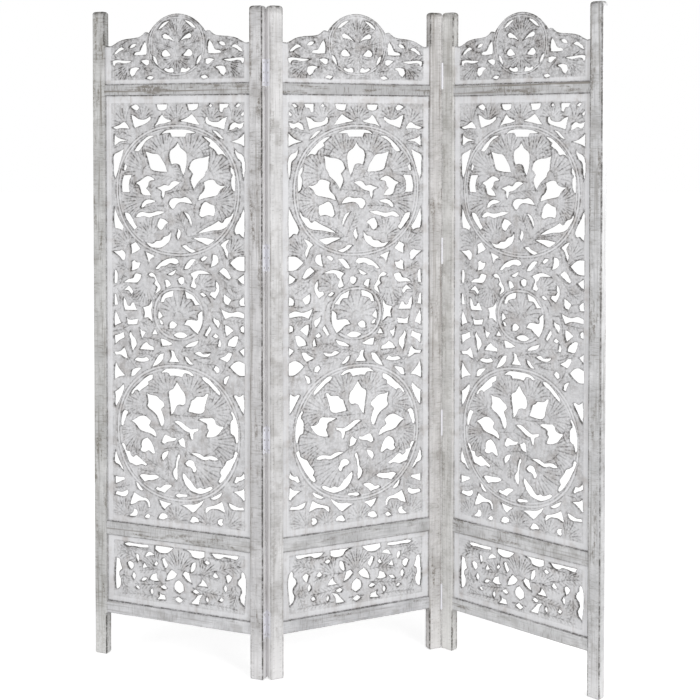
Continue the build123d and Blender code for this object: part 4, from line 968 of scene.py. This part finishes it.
def washed_wood(name, offset, along, colours, wear, relief):
    """Whitewashed wood: streaks along the grain, saw marks across it, bare spots, dark residue in cuts,
    painted light and shade.
    """
    material = bpy.data.materials.new(name)
    n = Nodes(material, "Principled BSDF")
    place = n.add("ShaderNodeVectorMath", {0: n.place(), 1: offset}, operation="ADD").outputs[0]
    stretch = GRAIN[along]
    grain = n.noise(place, stretch["fine"], 330.0, 5.0, 0.6)
    line = n.noise(place, stretch["line"], 120.0, 3.0, 0.6)
    streak = n.noise(place, stretch["streak"], 60.0, 4.0, 0.6)
    marks = n.noise(place, stretch["marks"], 330.0, 3.0, 0.6)
    cloud = n.noise(place, EVEN, 14.0, 5.0, 0.6)
    patch = n.noise(place, EVEN, 26.0, 3.0, 0.5)
    speck = n.noise(place, EVEN, 130.0, 6.0, 0.7)

    shade, bare = colours["shade"], colours["bare"]
    tone = n.mix(n.remap(cloud, 0.42 - 0.12 * wear, 0.9 - 0.2 * wear), colours["wash"], shade)
    tone = n.mix(n.math("MULTIPLY", n.remap(grain, 0.50, 0.66), wear), tone, shade)
    tone = n.mix(n.math("MULTIPLY", n.remap(line, 0.56, 0.66), 0.55 * wear), tone, bare)
    scored = n.math("MULTIPLY", n.remap(marks, 0.52, 0.68), n.remap(cloud, 0.42, 0.62, 0.25, 1.0))
    tone = n.mix(n.math("MULTIPLY", scored, 0.6 * wear), tone, bare)
    rubbed = n.math("MULTIPLY", n.remap(streak, 0.54, 0.68), n.remap(speck, 0.40, 0.58))
    tone = n.mix(n.math("MULTIPLY", rubbed, wear), tone, bare)
    tone = n.mix(n.remap(patch, 0.54, 0.70, 0.0, 0.35), tone, bare)
    # Painted light: where the lightening field asks for it, the stiles are painted toward a light tone.
    tone = n.mix(n.field("lightening"), tone, colours["lightened"])
    # Residue, and painted shade beside the hinges and on the openings' walls, darken toward the dark tone.
    clots = n.math("MULTIPLY", n.remap(patch, 0.36, 0.56, 0.5, 1.0), n.remap(speck, 0.40, 0.56, 0.3, 1.0))
    tone = n.mix(n.math("MULTIPLY", n.field("patina_and_shade"), clots), tone, colours["dark"])

    height = n.math("ADD", n.math("MULTIPLY", grain, 0.6), n.math("MULTIPLY", marks, 0.4))
    n.feed(n.shader, {
        "Base Color": tone,
        "Roughness": n.remap(speck, 0.2, 0.8, 0.62, 0.86),
        "Normal": n.bump(relief, 0.0012, height),
        "Specular IOR Level": 0.35,
    })
    return material


def painted_metal(name, paint, metal, wear):
    """Steel that caught the whitewash: paint with bright rubbed spots."""
    material = bpy.data.materials.new(name)
    n = Nodes(material, "Principled BSDF")
    speck = n.noise(n.place(), EVEN, 190.0, 5.0, 0.65)
    bared = n.remap(speck, wear, wear + 0.08)
    n.feed(n.shader, {
        "Base Color": n.mix(bared, paint, metal),
        "Metallic": n.remap(bared, 0.0, 1.0, 0.0, 0.9),
        "Roughness": n.remap(speck, 0.3, 0.7, 0.35, 0.6),
        "Normal": n.bump(0.3, 0.0004, speck),
    })
    return material


FRAME_COLOURS = {"lightened": (240, 240, 241), "wash": (213, 213, 214), "shade": (180, 180, 181),
                 "bare": (127, 123, 118), "dark": (80, 78, 76)}
BOARD_COLOURS = {"lightened": (238, 238, 240), "wash": (217, 217, 219), "shade": (198, 198, 200),
                 "bare": (156, 146, 138), "dark": (72, 69, 67)}
FRAME_RELIEF = 0.4
BOARD_RELIEF = 0.25
BOARD_RUBBED = 0.3

# Each leaf's colours are painted a few levels lighter or darker: painted light that evens out how the lamps
# fall on the turned leaves.
LEAF_LIGHTENING = {"left": -1, "centre": -1, "right": 5}


def washed(colours, leaf, tint=(0, 0, 0)):
    """Linear colours of a leaf's wood, with the leaf's painted light and the tint added."""
    return {name: srgb(*(level + LEAF_LIGHTENING[leaf] + by for level, by in zip(colour, tint)))
            for name, colour in colours.items()}


# ---- The screen ----
# Each stile and rail has random draws of its own.
STILE_SEED_STEP = 11
FIRST_RAIL_SEED = 100
RAIL_SEED_STEP = 7
LEAF_OFFSET = (0.37, 0.11, 0.53)


def add_stiles(leaf, number, offset):
    for side, x, inner in (("left", 0.0, 1.0), ("right", LEAF_WIDTH - STILE_WIDTH, -1.0)):
        name = f"{leaf}_{side}_stile"
        finish = {**PLAIN_STILE, **STILES[name]}
        colours = washed(FRAME_COLOURS, leaf, finish["tint"])
        wood = washed_wood(name + "_wood", offset, "z", colours, finish["rubbed"], FRAME_RELIEF)
        mesh = stile_mesh(name + "_post", STILE_SEED_STEP * number + (side == "right"), inner, finish)
        mesh.transform(Matrix.Translation((x * MM, 0.0, 0.0)))
        piece(name + "_post", mesh, leaf, wood, name)


def add_rails(leaf, number, offset):
    for order, (rail, (low, high)) in enumerate(RAILS.items()):
        name = f"{leaf}_{rail}"
        colours = washed(FRAME_COLOURS, leaf, RAIL_TINTS_AND_SHADE.get(name, (0, 0, 0)))
        wood = washed_wood(name + "_wood", offset, "x", colours, RAILS_RUBBED[rail], FRAME_RELIEF)
        mesh = rail_mesh(name + "_bar", FIRST_RAIL_SEED + RAIL_SEED_STEP * number + order, low, high)
        piece(name + "_bar", mesh, leaf, wood, name)


def add_boards(leaf, offset, made):
    """Carved boards of a leaf. Leaves with the carving turned the same way share meshes, kept in made."""
    colours = washed(BOARD_COLOURS, leaf)
    wood = washed_wood(f"{leaf}_carved_wood", offset, "z", colours, BOARD_RUBBED, BOARD_RELIEF)
    for board in BOARDS:
        pattern = (board, leaf == FLIPPED_LEAF)
        if pattern not in made:
            made[pattern] = carved_meshes(board, leaf)
        for part, mesh in enumerate(made[pattern], start=1):
            piece(f"{leaf}_{board}_carving_{part}", mesh, leaf, wood, f"{leaf}_{board}")


board_meshes = {}
for number, leaf in enumerate(TURNS):
    texture_offset = tuple(step * number for step in LEAF_OFFSET)
    add_stiles(leaf, number, texture_offset)
    add_rails(leaf, number, texture_offset)
    add_boards(leaf, texture_offset, board_meshes)

# The hinges' paint is lighter than the wood's wash: painted light against the shade in the joints.
hinge_metal = painted_metal("hinge_metal", srgb(225, 225, 230), srgb(168, 166, 162), 0.62)
screw_metal = painted_metal("screw_metal", srgb(172, 170, 166), srgb(150, 148, 144), 0.6)
for name, node in frame["nodes"].items():
    if "_hinge_" in name or "_screws_" in name:
        node.data.materials.clear()
        node.data.materials.append(screw_metal if "_screws_" in name else hinge_metal)


# ---- Floor, light and camera ----
FLOOR_HALF = 30.0
FLOOR_GREY = (0.86, 0.86, 0.86, 1.0)
FLOOR_GLOW = 0.40
WORLD_LIGHT = 0.745
WHITE = (1.0, 1.0, 1.0, 1.0)
LIGHT_AIM = (0.0, 0.0, 0.9)
CAMERA_PLACE = (0.0306, -3.7124, 1.487)
CAMERA_DIP = 1.564
CAMERA_SENSOR = 36.0
CAMERA_LENS = 69.84
CAMERA_SHIFT = (-0.0004, -0.2569)


def add_floor():
    """Pale floor that looks white from the camera and in gloss, and still takes the screen's shadow."""
    mesh = bpy.data.meshes.new("floor")
    corners = [(x * FLOOR_HALF, y * FLOOR_HALF, 0.0) for x, y in ((-1, -1), (1, -1), (1, 1), (-1, 1))]
    mesh.from_pydata(corners, [], [(0, 1, 2, 3)])
    floor = bpy.data.objects.new("floor", mesh)
    bpy.context.scene.collection.objects.link(floor)
    material = bpy.data.materials.new("floor_paint")
    n = Nodes(material, "Principled BSDF")
    rays = n.add("ShaderNodeLightPath", {}).outputs
    seen = n.math("MAXIMUM", rays["Is Camera Ray"], rays["Is Glossy Ray"])
    seen = n.math("MAXIMUM", seen, rays["Is Transmission Ray"])
    n.feed(n.shader, {
        "Base Color": FLOOR_GREY,
        "Roughness": 0.9,
        "Specular IOR Level": 0.0,
        "Emission Color": WHITE,
        "Emission Strength": n.math("MULTIPLY", seen, FLOOR_GLOW),
    })
    mesh.materials.append(material)


def light_world():
    """Even white light, and plain white where the world is seen, in gloss and through glass too."""
    world = bpy.data.worlds.new("studio")
    bpy.context.scene.world = world
    n = Nodes(world, "Background")
    rays = n.add("ShaderNodeLightPath", {}).outputs
    strength = WORLD_LIGHT
    for kind in ("Is Camera Ray", "Is Glossy Ray", "Is Transmission Ray"):
        strength = n.math("MAXIMUM", rays[kind], strength)
    n.feed(n.shader, {"Color": WHITE, "Strength": strength})


def softbox(name, place, size, power):
    """Square area light that faces the middle of the screen."""
    lamp = bpy.data.lights.new(name, "AREA")
    lamp.size = size
    lamp.energy = power
    thing = bpy.data.objects.new(name, lamp)
    bpy.context.scene.collection.objects.link(thing)
    thing.location = place
    thing.rotation_euler = (Vector(LIGHT_AIM) - Vector(place)).to_track_quat("-Z", "Y").to_euler()


def add_camera():
    """Camera that looks at the screen from the front, tilted down a little."""
    data = bpy.data.cameras.new("camera")
    data.sensor_width = CAMERA_SENSOR
    data.lens = CAMERA_LENS
    data.shift_x, data.shift_y = CAMERA_SHIFT
    camera = bpy.data.objects.new("camera", data)
    bpy.context.scene.collection.objects.link(camera)
    camera.location = CAMERA_PLACE
    camera.rotation_euler = (math.radians(90.0 - CAMERA_DIP), 0.0, 0.0)
    bpy.context.scene.camera = camera


add_floor()
light_world()
softbox("key_light", place=(2.6, -3.4, 2.0), size=2.2, power=88.0)
softbox("fill_light", place=(-5.5, -4.0, 2.0), size=3.2, power=95.0)
add_camera()
bpy.context.scene.view_settings.view_transform = "Standard"
